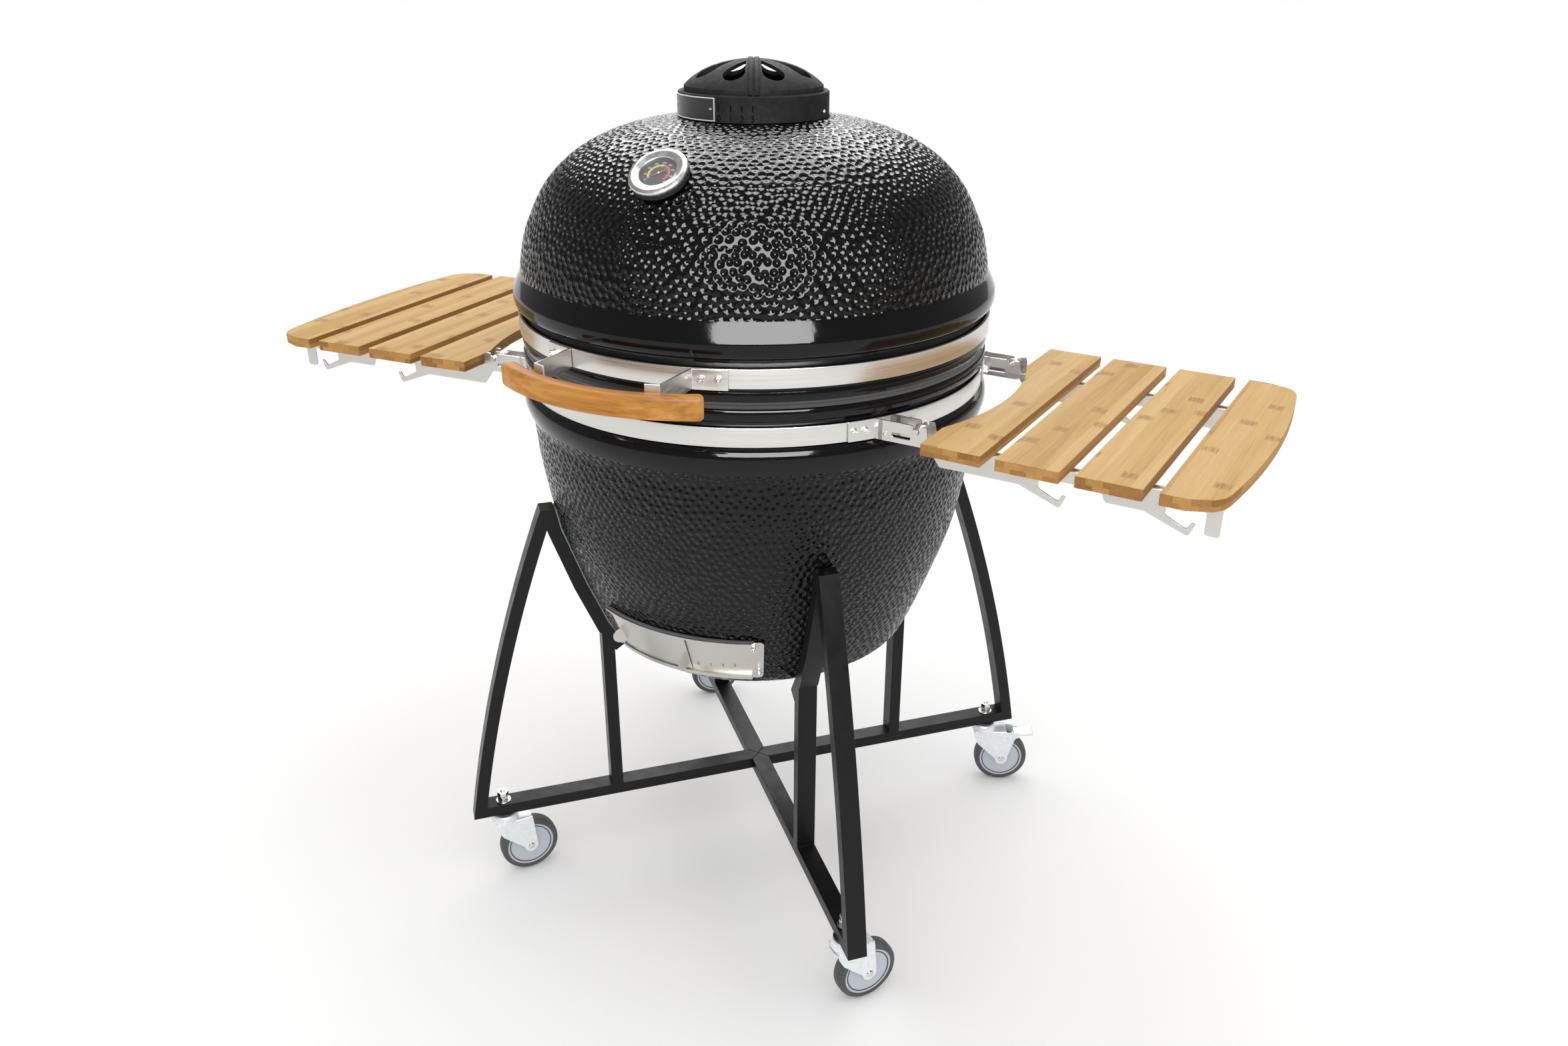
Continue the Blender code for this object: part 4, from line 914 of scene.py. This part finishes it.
def build_cart():
    outline, opening = frame_loops()
    half = TUBE_WIDTH / 2
    solid = upright([outline, opening], -half, half)
    bm = bmesh.new()
    bm.from_mesh(solid)
    bmesh.ops.dissolve_limit(bm, angle_limit=radians(0.3), verts=bm.verts, edges=bm.edges, delimit={"NORMAL"})
    for side in (1, -1):
        sliced = bmesh.ops.bisect_plane(
            bm, geom=bm.verts[:] + bm.edges[:] + bm.faces[:], plane_co=(0.0003, 0, 0),
            plane_no=(-1, side, 0), clear_outer=True,
        )
        rim = [e for e in sliced["geom_cut"] if isinstance(e, bmesh.types.BMEdge)]
        bmesh.ops.holes_fill(bm, edges=rim, sides=0)
    arm = mesh_from(bm)
    pad_path = [stretch(offset_path(CRADLE, layer), 0.473, FRAME_TOP - 0.002) for layer in (0.0004, 0.0032)]
    pad_outline = pad_path[0] + pad_path[1][::-1]
    for corner, angle in CORNERS.items():
        turn = spin(angle)
        show(f"frame_{corner}", moved(arm.copy(), turn), "paint", "base", f"cart_frame_{corner}",
             bevel=0.0017, segments=3)
        pad = upright([pad_outline], -0.0135, 0.0135)
        show(f"pad_{corner}", moved(pad, turn), "felt", "base", f"saddle_pad_{corner}", bevel=0.0008)
        stack = [moved(hex_bolt(0.0175, 0.0085, 0.0015), Matrix.Rotation(0.3, 4, "Z")),
                 moved(hex_bolt(0.0165, 0.0075, 0.0, 0.003), move(0, 0, 0.0105))]
        nut = moved(merged(*stack), turn @ move(CASTER_RADIUS, 0, BEAM_BOTTOM + TUBE_DEPTH))
        show(f"stem_nut_{corner}", nut, "bolt_steel", "base", bevel=0.0007)
        cap = soft_ring(0.004, 0.0185, BEAM_BOTTOM - 0.0042, BEAM_BOTTOM - 0.0001, 0.001, 40)
        cap = moved(cap, turn @ move(CASTER_RADIUS, 0, 0))
        show(f"stem_cap_{corner}", cap, "bushing", "base")


def fork_cheek(y_low, y_high, braked):
    trail, axle = CASTER_TRAIL, WHEEL_RADIUS
    back = [(0.0655, 0.1095), (0.069, 0.1), (0.06, 0.096)] if braked else [(0.043, 0.111)]
    outline = [(-0.02, 0.1115), *back, (trail + 0.0118, 0.056)]
    outline += [(trail + 0.0118 * cos(a), axle + 0.0118 * sin(a))
                for a in (radians(d) for d in range(0, -181, -20))]
    outline += [(-0.01, 0.083), (-0.019, 0.1)]
    return upright([fillet(outline, 0.006, 4)], y_low, y_high)


def build_casters():
    def across(profile):
        return [(radius, -width) for radius, width in profile]

    tyre = [(0.0405, 0.0122), (0.044, 0.0125), (0.0475, 0.0112), (0.0492, 0.009), (0.0499, 0.0055),
            (0.05, 0.0)]
    tyre += across(tyre[-2::-1])
    hub = [(0.0046, 0.0118), (0.012, 0.0118), (0.0135, 0.01), (0.0345, 0.01), (0.0352, 0.0106),
           (0.0372, 0.011), (0.0405, 0.0112), (0.0408, 0.009)]
    hub += across(hub[::-1])
    # The hub's groove is not cut. A near-black ring fills it: painted shade standing in for the groove's
    # shadow.
    groove_shade = [(0.0352, 0.0112), (0.0368, 0.0112), (0.0368, 0.01), (0.0352, 0.01)]
    for corner, angle in CORNERS.items():
        a = radians(angle)
        stem = move(CASTER_RADIUS * cos(a), CASTER_RADIUS * sin(a), 0) @ spin(HEADINGS[corner])
        axle = stem @ move(CASTER_TRAIL, 0, WHEEL_RADIUS) @ UPRIGHT_ALONG_X
        fork, wheel, braked = f"fork_{corner}", f"wheel_{corner}", corner.startswith("back")
        show(f"tyre_{corner}", moved(turned(tyre, 96), axle), "rubber", wheel, f"caster_wheel_{corner}")
        show(f"hub_{corner}", moved(turned(hub, 72), axle), "hub", wheel)
        rings = [turned(groove_shade, 72), turned(across(groove_shade), 72)]
        show(f"hub_shade_ring_{corner}", moved(merged(*rings), axle), "hub_shade_ring", wheel)
        raceway = [(0.0, 0.1252), (0.0165, 0.1252), (0.019, 0.124), (0.0205, 0.1215), (0.0212, 0.1165),
                   (0.0225, 0.114), (0.0225, 0.1122), (0.0, 0.1122)]
        crown = fillet(box(-0.0205, -0.0166, 0.0425, 0.0166), 0.007, 4)
        rolled = [wire([(0.002, side * 0.016, 0.1108), (0.0425, side * 0.016, 0.1108)], 0.0016)
                  for side in (1, -1)]
        parts = [fork_cheek(FORK_INNER, FORK_OUTER, braked), fork_cheek(-FORK_OUTER, -FORK_INNER, braked),
                 plate([crown], 0.1092, 0.112), turned(raceway, 48, True), *rolled]
        show(f"fork_sheet_{corner}", moved(merged(*parts), stem), "zinc", fork, f"caster_fork_{corner}",
             bevel=0.0006)
        ends = []
        for side in (1, -1):
            face = stem @ move(CASTER_TRAIL, side * FORK_OUTER, WHEEL_RADIUS) @ spin(-90 * side, "X")
            head = hex_bolt(0.0128, 0.0042, 0.001) if side > 0 else domed_screw(0.0062, 0.0032)
            ends.append(moved(head, face))
        spindle = wire([(CASTER_TRAIL, end, WHEEL_RADIUS) for end in (-0.0168, 0.0168)], 0.0039)
        show(f"axle_{corner}", merged(*ends, moved(spindle, stem)), "bolt_steel", fork, bevel=0.0004)
        if braked:
            pedal = fillet([(-0.004, 0.0025), (-0.004, -0.0025), (0.01, -0.0015), (0.031, -0.0005),
                            (0.0335, 0.0035), (0.031, 0.005), (0.01, 0.003)], 0.0012, 3)
            lever = upright([pedal], -0.0118, 0.0118)
            pin = wire([(0, -0.0141, 0), (0, 0.0141, 0)], 0.0022)
            brake = moved(merged(lever, pin), stem @ move(0.062, 0, 0.1015))
            show(f"brake_pedal_{corner}", brake, "zinc", f"brake_{corner}", f"caster_brake_{corner}",
                 bevel=0.0008)


# ------------------------------------------------------------------ lid fittings

def build_handle():
    middle, half_deep = (HANDLE_INNER + HANDLE_OUTER) / 2, (HANDLE_OUTER - HANDLE_INNER) / 2
    low, high = HANDLE_BOTTOM, HANDLE_TOP
    section = fillet(box(-half_deep, low, half_deep, high), 0.0065, 5)
    z_mid = (low + high) / 2
    bm = bmesh.new()
    rings = []
    ends = [0.96, 0.978, 0.99, 0.997, 1.0]
    stations = [-end for end in ends[::-1]] + list(np.linspace(-0.93, 0.93, 41)) + ends
    for station in stations:
        angle = radians(HANDLE_HALF_ANGLE * station)
        gone = max(0.0, (abs(station) - 0.955) / 0.045)
        shrink = sqrt(max(0.0, 1 - gone ** 2.6)) * 0.42 + 0.58
        ring = []
        for offset, height in section:
            radius = middle + offset * shrink
            z = z_mid + (height - z_mid) * shrink
            ring.append(bm.verts.new((radius * sin(angle), HANDLE_CENTRE_Y - radius * cos(angle), z)))
        rings.append(ring)
    for a, b in zip(rings, rings[1:]):
        for i in range(len(section)):
            bm.faces.new((a[i - 1], a[i], b[i], b[i - 1]))
    bm.faces.new(rings[0])
    bm.faces.new(rings[-1][::-1])
    show("handle_wood", mesh_from(bm), "hardwood", "lid", "handle_grip")

    sheet = 0.003
    flange_radius = 0.355 + 0.0005 + sheet / 2
    bar_radius = HANDLE_INNER - 0.0003 - sheet / 2
    fold = degrees(asin(STRAP_X / flange_radius))
    for side, sign in (("right", 1), ("left", -1)):
        parts = []
        turns = [radians(23.0 + (fold - 23.0) * i / 6) for i in range(7)]
        path = [(flange_radius * sin(t), -flange_radius * cos(t)) for t in turns]
        path += [(x, HANDLE_CENTRE_Y - sqrt(bar_radius ** 2 - x * x)) for x in (STRAP_X, 0.076)]
        outline = [(sign * x, y) for x, y in ribbon(path, sheet)]
        show(f"handle_strap_{side}", plate([outline], 0.958, 0.986), "sheet_steel", "lid",
             f"handle_bracket_{side}", bevel=0.0009)
        for azimuth in (17.4, 21.0):
            parts.append(moved(hex_bolt(0.0085, 0.0045, 0.001, 0.003),
                               outward(sign * azimuth, 0.3584, 0.9715)))
        show(f"handle_nuts_{side}", merged(*parts), "bolt_steel", "lid", bevel=0.0004)


def teardrops(radius, low, high):
    """One tall prism for each petal-shaped hole: pointed towards the axis and round at its outer end."""
    lean = degrees(acos(radius / (PETAL_MIDDLE - PETAL_TIP)))
    meshes = []
    for number in range(8):
        turn = RIB_AZIMUTH - 90 + (number + 0.5) * 45
        outline = [(PETAL_TIP, 0.0)]
        for i in range(25):
            angle = radians(180 + lean + (360 - 2 * lean) * i / 24)
            outline.append((PETAL_MIDDLE + radius * cos(angle), radius * sin(angle)))
        meshes.append(moved(plate([outline], low, high), spin(turn)))
    return merged(*meshes)


def build_vent():
    ring = [
        (0.0, 1.288), (0.099, 1.288), (0.1, 1.2884), (0.1012, 1.289), (0.1066, 1.289), (0.108, 1.2876),
        (0.108, 1.256), (0.1085, 1.2548), (0.0735, 1.2545), (0.0735, 1.232), (0.069, 1.232), (0.069, 1.2585),
        (0.1, 1.2585), (0.1, 1.284), (0.0, 1.284),
    ]
    seat = cut(turned(ring, 128, True), teardrops(SEAT_PETAL, *VENT_HOLES))
    show("vent_seat", seat, "cast", "lid", "vent_ring", bevel=0.0005)
    cap = [
        (0.0, 1.3312), (0.015, 1.3305), (0.03, 1.3285), (0.046, 1.3252), (0.06, 1.3208), (0.073, 1.3152),
        (0.085, 1.308), (0.093, 1.302), (0.0968, 1.2985), (0.0978, 1.2972), (0.099, 1.2965), (0.0995, 1.2955),
        (0.0995, 1.2893), (0.095, 1.2893), (0.093, 1.295), (0.082, 1.3045), (0.058, 1.3165), (0.03, 1.3245),
        (0.0, 1.327),
    ]
    lid = cut(turned(cap, 160, True), teardrops(CAP_PETAL, *VENT_HOLES))
    show("vent_cap_shell", lid, "cast", "vent_cap", "vent_cap", bevel=0.001, segments=3)
    crest = [
        (-0.006, 1.329), (-0.006, 1.3322), (0.0, 1.333), (0.015, 1.3328), (0.03, 1.3316), (0.045, 1.3284),
        (0.06, 1.324), (0.073, 1.3185), (0.085, 1.3117), (0.094, 1.3048), (0.099, 1.3002), (0.1012, 1.2975),
        (0.1014, 1.2895), (0.096, 1.2895), (0.094, 1.296), (0.083, 1.306), (0.059, 1.318), (0.03, 1.326),
    ]
    turn = spin(RIB_AZIMUTH - 90)
    ribs = [moved(upright([crest], low, low + 0.0072), turn) for low in (-0.0079, 0.0007)]
    floor = [(x, z - 0.0022) for x, z in crest[:13]] + crest[13:]
    ribs.append(moved(upright([floor], -0.003, 0.003), turn))
    show("vent_ribs", merged(*ribs), "cast", "vent_cap", bevel=0.0016, segments=3)

    marks = []
    for number, azimuth in enumerate((2.2, 11.6, 19.9, 27.6)):
        marks.append(moved(digits(str(number), 0.0125, 0.0002), outward(azimuth, 0.1081, 1.26)))
        tick = plate([box(-0.0007, -0.0045, 0.0007, 0.0045)], -0.0003, 0.0004)
        marks.append(moved(tick, outward(azimuth, 0.108, 1.2738)))
    show("vent_digits", merged(*marks), "cast_mark", "lid")
    screw = moved(domed_screw(0.0028, 0.0018), outward(94.4, 0.1079, 1.2636))
    show("vent_set_screw", screw, "bolt_steel", "lid")

    def label(west, east, bottom, top, near, far):
        """A plate bent round the vent's ring."""
        bend = ribbon(arc_xy((near + far) / 2, west - 90, east - 90, 20), far - near)
        return plate([bend], bottom, top)

    west, east, bottom, top = -56.0, -0.8, 1.256, 1.2866
    show("name_plate", label(west, east, bottom, top, 0.1081, 0.109), "plate_black", "lid", bevel=0.0003)
    sides = ((west, east, bottom, 1.2573), (west, east, 1.2853, top), (west, -55.2, bottom, top),
             (-1.6, east, bottom, top))
    rim = [label(*side, 0.1084, 0.1096) for side in sides]
    show("name_plate_rim", merged(*rim), "plate_rim", "lid", bevel=0.0002)
    rivets = [moved(domed_screw(0.0022, 0.001), outward(azimuth, 0.109, 1.2718)) for azimuth in (-53.0, -4.4)]
    show("name_plate_rivets", merged(*rivets), "bolt_steel", "lid")


def build_thermometer():
    spot = move(DIAL_RADIUS * sin(DIAL_AZIMUTH), -DIAL_RADIUS * cos(DIAL_AZIMUTH), DIAL_HEIGHT)
    tilt = spot @ Matrix.Rotation(DIAL_AZIMUTH, 4, "Z") @ Matrix.Rotation(DIAL_TILT, 4, "X")
    body = [(0.0, -0.055), (0.003, -0.055), (0.003, 0.0005), (0.0375, 0.0005), (0.0392, 0.0022),
            (0.0396, 0.0045), (0.0396, 0.01), (0.0262, 0.01), (0.0262, 0.009), (0.0, 0.009)]
    bezel = [(0.039, 0.0092), (0.0402, 0.0098), (0.0405, 0.0112), (0.0403, 0.0132), (0.0394, 0.0146),
             (0.0362, 0.0163), (0.0345, 0.0165), (0.0325, 0.016), (0.0272, 0.015), (0.0258, 0.0146),
             (0.0252, 0.0138), (0.0252, 0.0106), (0.0255, 0.0092)]
    show("thermometer_body", moved(turned(body, 96, True), tilt), "bushing", "lid", "thermometer_case")
    show("thermometer_bezel", moved(turned(bezel, 128), tilt), "bezel_steel", "lid", sharp=25)
    show("thermometer_face", moved(plate([circle(0.0251, 72)], 0.0093, 0.0101), tilt), "dial_face", "lid",
         "thermometer_dial")
    glass = turned([(0, 0.0143), (0.018, 0.0142), (0.025, 0.0138), (0.025, 0.013), (0, 0.013)], 72, True)
    show("thermometer_glass", moved(glass, tilt), "glass", "lid", "thermometer_lens")

    def sector(inner, outer, start, end):
        """A band on the dial between two clock angles, turning right from straight up."""
        points = [(r * sin(radians(t)), r * cos(radians(t)))
                  for r, order in ((outer, 1), (inner, -1)) for t in np.linspace(start, end, 24)[::order]]
        return moved(plate([points], 0.0101, 0.0103), tilt)

    show("dial_warm_band", sector(0.0128, 0.0158, SCALE_START, 10), "yellow", "lid")
    show("dial_hot_band", sector(0.0128, 0.0158, 10, SCALE_START + SCALE_SWEEP), "red", "lid")
    marks = []
    for number in range(9):
        clock = radians(SCALE_START + number * SCALE_SWEEP / 8)
        spot = Vector((0.019 * sin(clock), 0.019 * cos(clock), 0.0102))
        marks.append(moved(digits(str(50 + 50 * number), 0.0034, 0.0001), tilt @ Matrix.Translation(spot)))
        tick = plate([box(-0.0002, 0.0112, 0.0002, 0.0126)], 0.0101, 0.0103)
        marks.append(moved(tick, tilt @ Matrix.Rotation(-clock, 4, "Z")))
    show("dial_figures", merged(*marks), "white", "lid")

    heading = radians(90 - NEEDLE_HEADING)
    along = Vector((cos(heading), sin(heading)))
    across = Vector((-along.y, along.x))
    outline = ((0.0165, 0.0), (0.004, 0.0007), (0.0, 0.001), (-0.0125, 0.0005), (-0.0125, -0.0005),
               (0.0, -0.001), (0.004, -0.0007))
    hand = plate([[tuple(along * ahead + across * aside) for ahead, aside in outline]], 0.0108, 0.0113)
    show("dial_hand", moved(hand, tilt), "red", "thermometer_needle", "thermometer_needle")
    hub = moved(domed_screw(0.0018, 0.001), tilt @ move(0, 0, 0.0112))
    show("dial_hub", hub, "bolt_steel", "thermometer_needle")


# ------------------------------------------------------------------ rear hinge

def build_hinge():
    hole = circle(0.0044, 24, (HINGE.y, HINGE.z))

    def cheeks(outline, inner_x, outer_x):
        shape = [fillet(outline, 0.006, 4), hole]
        sides = ((inner_x, outer_x), (-outer_x, -inner_x))
        return [moved(plate(shape, *side), UPRIGHT_ALONG_Y) for side in sides]

    def flange(radius, bottom, top):
        return plate([ribbon(arc_xy(radius, 79, 101, 16), 0.003)], bottom, top)

    lower_ear = [
        (0.3462, 0.88), (0.3462, 0.903), (0.362, 0.915), (0.392, 0.946), (0.405, 0.95), (0.417, 0.944),
        (0.421, 0.93), (0.4588, 0.872), (0.4588, 0.85), (0.436, 0.85), (0.375, 0.872),
    ]
    tray = plate([fillet(box(-0.0615, 0.425, 0.0615, 0.4584), 0.002)], 0.8503, 0.8536)
    lower = merged(flange(0.3512, 0.8778, 0.9042), *cheeks(lower_ear, 0.06, 0.0635), tray)
    show("hinge_lower_sheet", lower, "sheet_steel", "base", "hinge_bracket_lower", bevel=0.0006)
    upper_ear = [
        (0.3528, 0.962), (0.3528, 0.984), (0.4, 0.973), (0.436, 0.972), (0.449, 0.968), (0.4535, 0.9598),
        (0.449, 0.9515), (0.4432, 0.949), (0.418, 0.9275), (0.405, 0.925), (0.394, 0.93), (0.375, 0.955),
    ]
    bar = wire([(-0.056, ANCHOR_Y, ANCHOR_Z), (0.056, ANCHOR_Y, ANCHOR_Z)], 0.0049)
    upper = merged(flange(0.3572, 0.96, 0.9855), *cheeks(upper_ear, 0.0545, 0.058), bar)
    show("hinge_upper_sheet", upper, "sheet_steel", "lid", "hinge_bracket_upper", bevel=0.0006)
    pin = [wire([(-0.067, HINGE.y, HINGE.z), (0.067, HINGE.y, HINGE.z)], 0.004, sides=5)]
    for side in (1, -1):
        head = move(side * 0.065, HINGE.y, HINGE.z) @ spin(90 * side, "Y")
        pin.append(moved(domed_screw(0.0065, 0.0028), head))
    show("hinge_pin_rod", merged(*pin), "bolt_steel", "base", "hinge_pin")
    for name, radius, height, body in (("lower", 0.3527, 0.891, "base"), ("upper", 0.3587, 0.9728, "lid")):
        nuts = [moved(hex_bolt(0.0095, 0.0045, 0.001, 0.0025), outward(180 + turn, radius, height))
                for turn in (-6.5, 0, 6.5)]
        show(f"hinge_nuts_{name}", merged(*nuts), "bolt_steel", body, bevel=0.0004)
    low, high = SPRING_FOOT + 0.0016, ANCHOR_Z - 0.0062
    turns, count, radius = 15, 15 * 20, 0.0092
    for side, x in (("left", -0.03), ("right", 0.03)):
        coil = []
        for i in range(count + 1):
            t = i / count
            angle = tau * turns * t
            coil.append((x + radius * cos(angle), ANCHOR_Y + radius * sin(angle), low + (high - low) * t))
        spring = show(f"spring_coil_{side}", wire(coil, 0.0015, sides=2), "bolt_steel", "base",
                      f"hinge_spring_{side}")
        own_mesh(spring)


# ------------------------------------------------------------------ side shelves

def slat_outline(number):
    inner, outer = SLAT_EDGES[number]
    front, back = SHELF_FRONT, SHELF_BACK
    if number == 0:
        reach = degrees(acos(inner / RELIEF))
        return fillet([(inner, back), (outer, back), (outer, front), (inner, front)], 0.0015, 2)[:-3] + [
            (inner, front + 0.0015), *arc_xy(RELIEF, -reach, reach, 40)]
    if number < 3:
        return fillet(box(inner, front, outer, back), 0.0015, 2)
    middle, half = (front + back) / 2, (back - front) / 2
    crown = [(outer + CROWN * (1 - ((y - middle) / half) ** 2), y) for y in np.linspace(front, back, 40)]
    soft = []
    for x, y in crown:
        inset = max(0.0, SOFT_CORNER - min(y - front, back - y))
        soft.append((x - (SOFT_CORNER - sqrt(max(0.0, SOFT_CORNER ** 2 - inset ** 2))), y))
    return [(inner, front), *soft, (inner, back)]


ARM_TOP, ARM_LOW, ARM_SHALLOW = 0.8837, 0.85, 0.865
MOUNT_BOTTOM, MOUNT_TOP, MOUNT_REACH, MOUNT_RADIUS = 0.8775, 0.9055, 0.378, 0.3508


def hook(x):
    """The outline of one utensil hook under the plate, tip towards the shelf's outer edge."""
    return [(x + 0.026, ARM_SHALLOW), (x + 0.026, 0.8505), (x + 0.0525, 0.838), (x + 0.0585, 0.8475),
            (x + 0.063, 0.846), (x + 0.056, 0.829), (x, ARM_LOW)]


def arm_outline():
    outline = [(0.3535, 0.9045), (0.367, 0.9045), (0.372, ARM_TOP), (0.752, ARM_TOP), (0.752, 0.835),
               (0.734, 0.835), (0.734, ARM_SHALLOW)]
    outline += hook(0.66) + [(0.612, ARM_LOW), (0.606, ARM_SHALLOW)]
    outline += hook(0.5) + [(0.3905, ARM_LOW), (0.3605, 0.8895), (0.3535, 0.8915)]
    return fillet(outline, 0.004, 4)


def build_shelves():
    for side, sign in (("right", 1), ("left", -1)):
        turn = Matrix.Rotation(-SPLAY, 4, "Z")
        place = Matrix.Diagonal((sign, 1, 1, 1)) @ turn
        body = f"shelf_{side}"
        for number in range(4):
            slat = moved(plate([slat_outline(number)], SLAT_BOTTOM, SLAT_TOP), place)
            show(f"slat_{side}_{number + 1}", slat, f"bamboo_{side}", body, f"shelf_slat_{side}_{number + 1}",
                 bevel=0.0009, segments=2)
        for spot, y in (("front", -MOUNT_Y), ("back", MOUNT_Y)):
            web = upright([arm_outline()], -0.0014, 0.0014)
            ledge = plate([fillet(box(0.39, -0.007, 0.7515, 0.007), 0.002)],
                          0.8809, ARM_TOP)
            pin = wire([(PIVOT_X, -0.0178, PIVOT_Z), (PIVOT_X, 0.0178, PIVOT_Z)], 0.004, sides=5)
            arm = moved(moved(merged(web, ledge, pin), move(0, y, 0)), place)
            show(f"arm_{side}_{spot}", arm, "sheet_steel", body, f"shelf_arm_{side}_{spot}", bevel=0.0004)

            sheets, bolts = [], []
            for out in (1, -1):
                arm_y = y + out * MOUNT_HALF_GAP
                fold = degrees(asin(arm_y / MOUNT_RADIUS))
                start_x = MOUNT_RADIUS * cos(radians(fold))
                path = arc_xy(MOUNT_RADIUS, fold + out * 6.5, fold, 8) + [(start_x + 0.012, arm_y)]
                sheets.append(plate([ribbon(path, 0.0025)], MOUNT_BOTTOM, MOUNT_TOP))
                low, high = MOUNT_BOTTOM, MOUNT_TOP
                blade = [(start_x + 0.006, low), (MOUNT_REACH - 0.004, low), (MOUNT_REACH, low + 0.012),
                         (MOUNT_REACH - 0.003, high), (0.365, high), (0.365, 0.8935), (0.356, 0.8935),
                         (0.356, high), (start_x + 0.006, high)]
                slot = fillet(box(0.325, 0.884, 0.353, 0.8912), 0.0036, 4)
                blade = upright([fillet(blade, 0.0035, 4), slot], -0.00125, 0.00125)
                sheets.append(moved(blade, move(0, arm_y, 0)))
                for lift in (2.3, 5.0):
                    azimuth = 90 + fold + out * lift
                    bolts.append(moved(hex_bolt(0.0078, 0.0042, 0.0009, 0.0026),
                                       outward(azimuth, 0.352, 0.8912)))
                rivet = move(0.316, arm_y + out * 0.00125, 0.8875) @ spin(-90 * out, "X")
                bolts.append(moved(domed_screw(0.0036, 0.0014), rivet))
            sheets.append(wire([(0.316, y - 0.0125, 0.883), (0.316, y + 0.0125, 0.883)], 0.003))
            show(f"mount_{side}_{spot}", moved(merged(*sheets), place), "sheet_steel", "base",
                 f"shelf_mount_{side}_{spot}", bevel=0.0005)
            show(f"mount_bolts_{side}_{spot}", moved(merged(*bolts), place), "bolt_steel", "base",
                 bevel=0.0003)


# ------------------------------------------------------------------ floor, light and camera

def build_studio():
    bm = bmesh.new()
    bmesh.ops.create_grid(bm, x_segments=2, y_segments=2, size=90.0)
    floor = bpy.data.objects.new("studio_floor", mesh_from(bm))
    floor.location.z = -0.0002
    bpy.context.scene.collection.objects.link(floor)
    pale = Look("studio_floor", (0.97, 0.97, 0.97), 0.75, specular_ior_level=0.2)
    floor.data.materials.append(pale.material)

    world = bpy.data.worlds.new("studio")
    bpy.context.scene.world = world
    world.use_nodes = True
    background = world.node_tree.nodes["Background"]
    background.inputs["Color"].default_value = (1.0, 1.0, 1.0, 1.0)
    glossy = world.node_tree.nodes.new("ShaderNodeLightPath").outputs["Is Glossy Ray"]
    dimming = WORLD_IN_REFLECTIONS - WORLD_LIGHT
    strength = calculate(world.node_tree, "MULTIPLY_ADD", glossy, dimming, WORLD_LIGHT)
    plug(world.node_tree, background.inputs["Strength"], strength)

    def softbox(name, azimuth, elevation, distance, wide, tall, radiance, diffuse):
        """An area light seen from the dome's middle at an azimuth and elevation, in degrees."""
        a, e = radians(azimuth), radians(elevation)
        towards = Vector((sin(a) * cos(e), -cos(a) * cos(e), sin(e)))
        lamp = bpy.data.lights.new(name, "AREA")
        lamp.shape = "RECTANGLE"
        lamp.size, lamp.size_y = wide, tall
        lamp.energy = radiance * pi * wide * tall
        holder = bpy.data.objects.new(name, lamp)
        holder.location = Vector((0, 0, 1.1)) + towards * distance
        holder.rotation_euler = towards.to_track_quat("Z", "Y").to_euler()
        holder.visible_diffuse = diffuse
        holder.visible_camera = False
        bpy.context.scene.collection.objects.link(holder)

    softbox("back_overhead", 208.5, 50.0, 2.6, 2.5, 3.2, 6.0, False)
    softbox("front_box", 32.0, 31.0, 2.6, 1.9, 1.7, 18.0, False)
    softbox("top_light", 180.0, 75.0, 2.8, 1.6, 1.6, 1.3, True)


def build_camera():
    data = bpy.data.cameras.new("camera")
    data.sensor_fit = "HORIZONTAL"
    data.sensor_width = 36.0
    data.lens = CAMERA_LENS
    camera = bpy.data.objects.new("camera", data)
    aim = spin(CAMERA_HEADING) @ spin(CAMERA_PITCH, "X") @ spin(CAMERA_ROLL)
    camera.matrix_world = move(*CAMERA_PLACE) @ aim
    bpy.context.scene.collection.objects.link(camera)
    bpy.context.scene.camera = camera
    bpy.context.scene.view_settings.view_transform = "Standard"


LOOKS = make_materials()
for build in (
    build_studio, build_camera, build_bowl, build_dome, build_bands, build_inside, build_draft, build_cart,
    build_casters, build_handle, build_vent, build_thermometer, build_hinge, build_shelves,
):
    build()
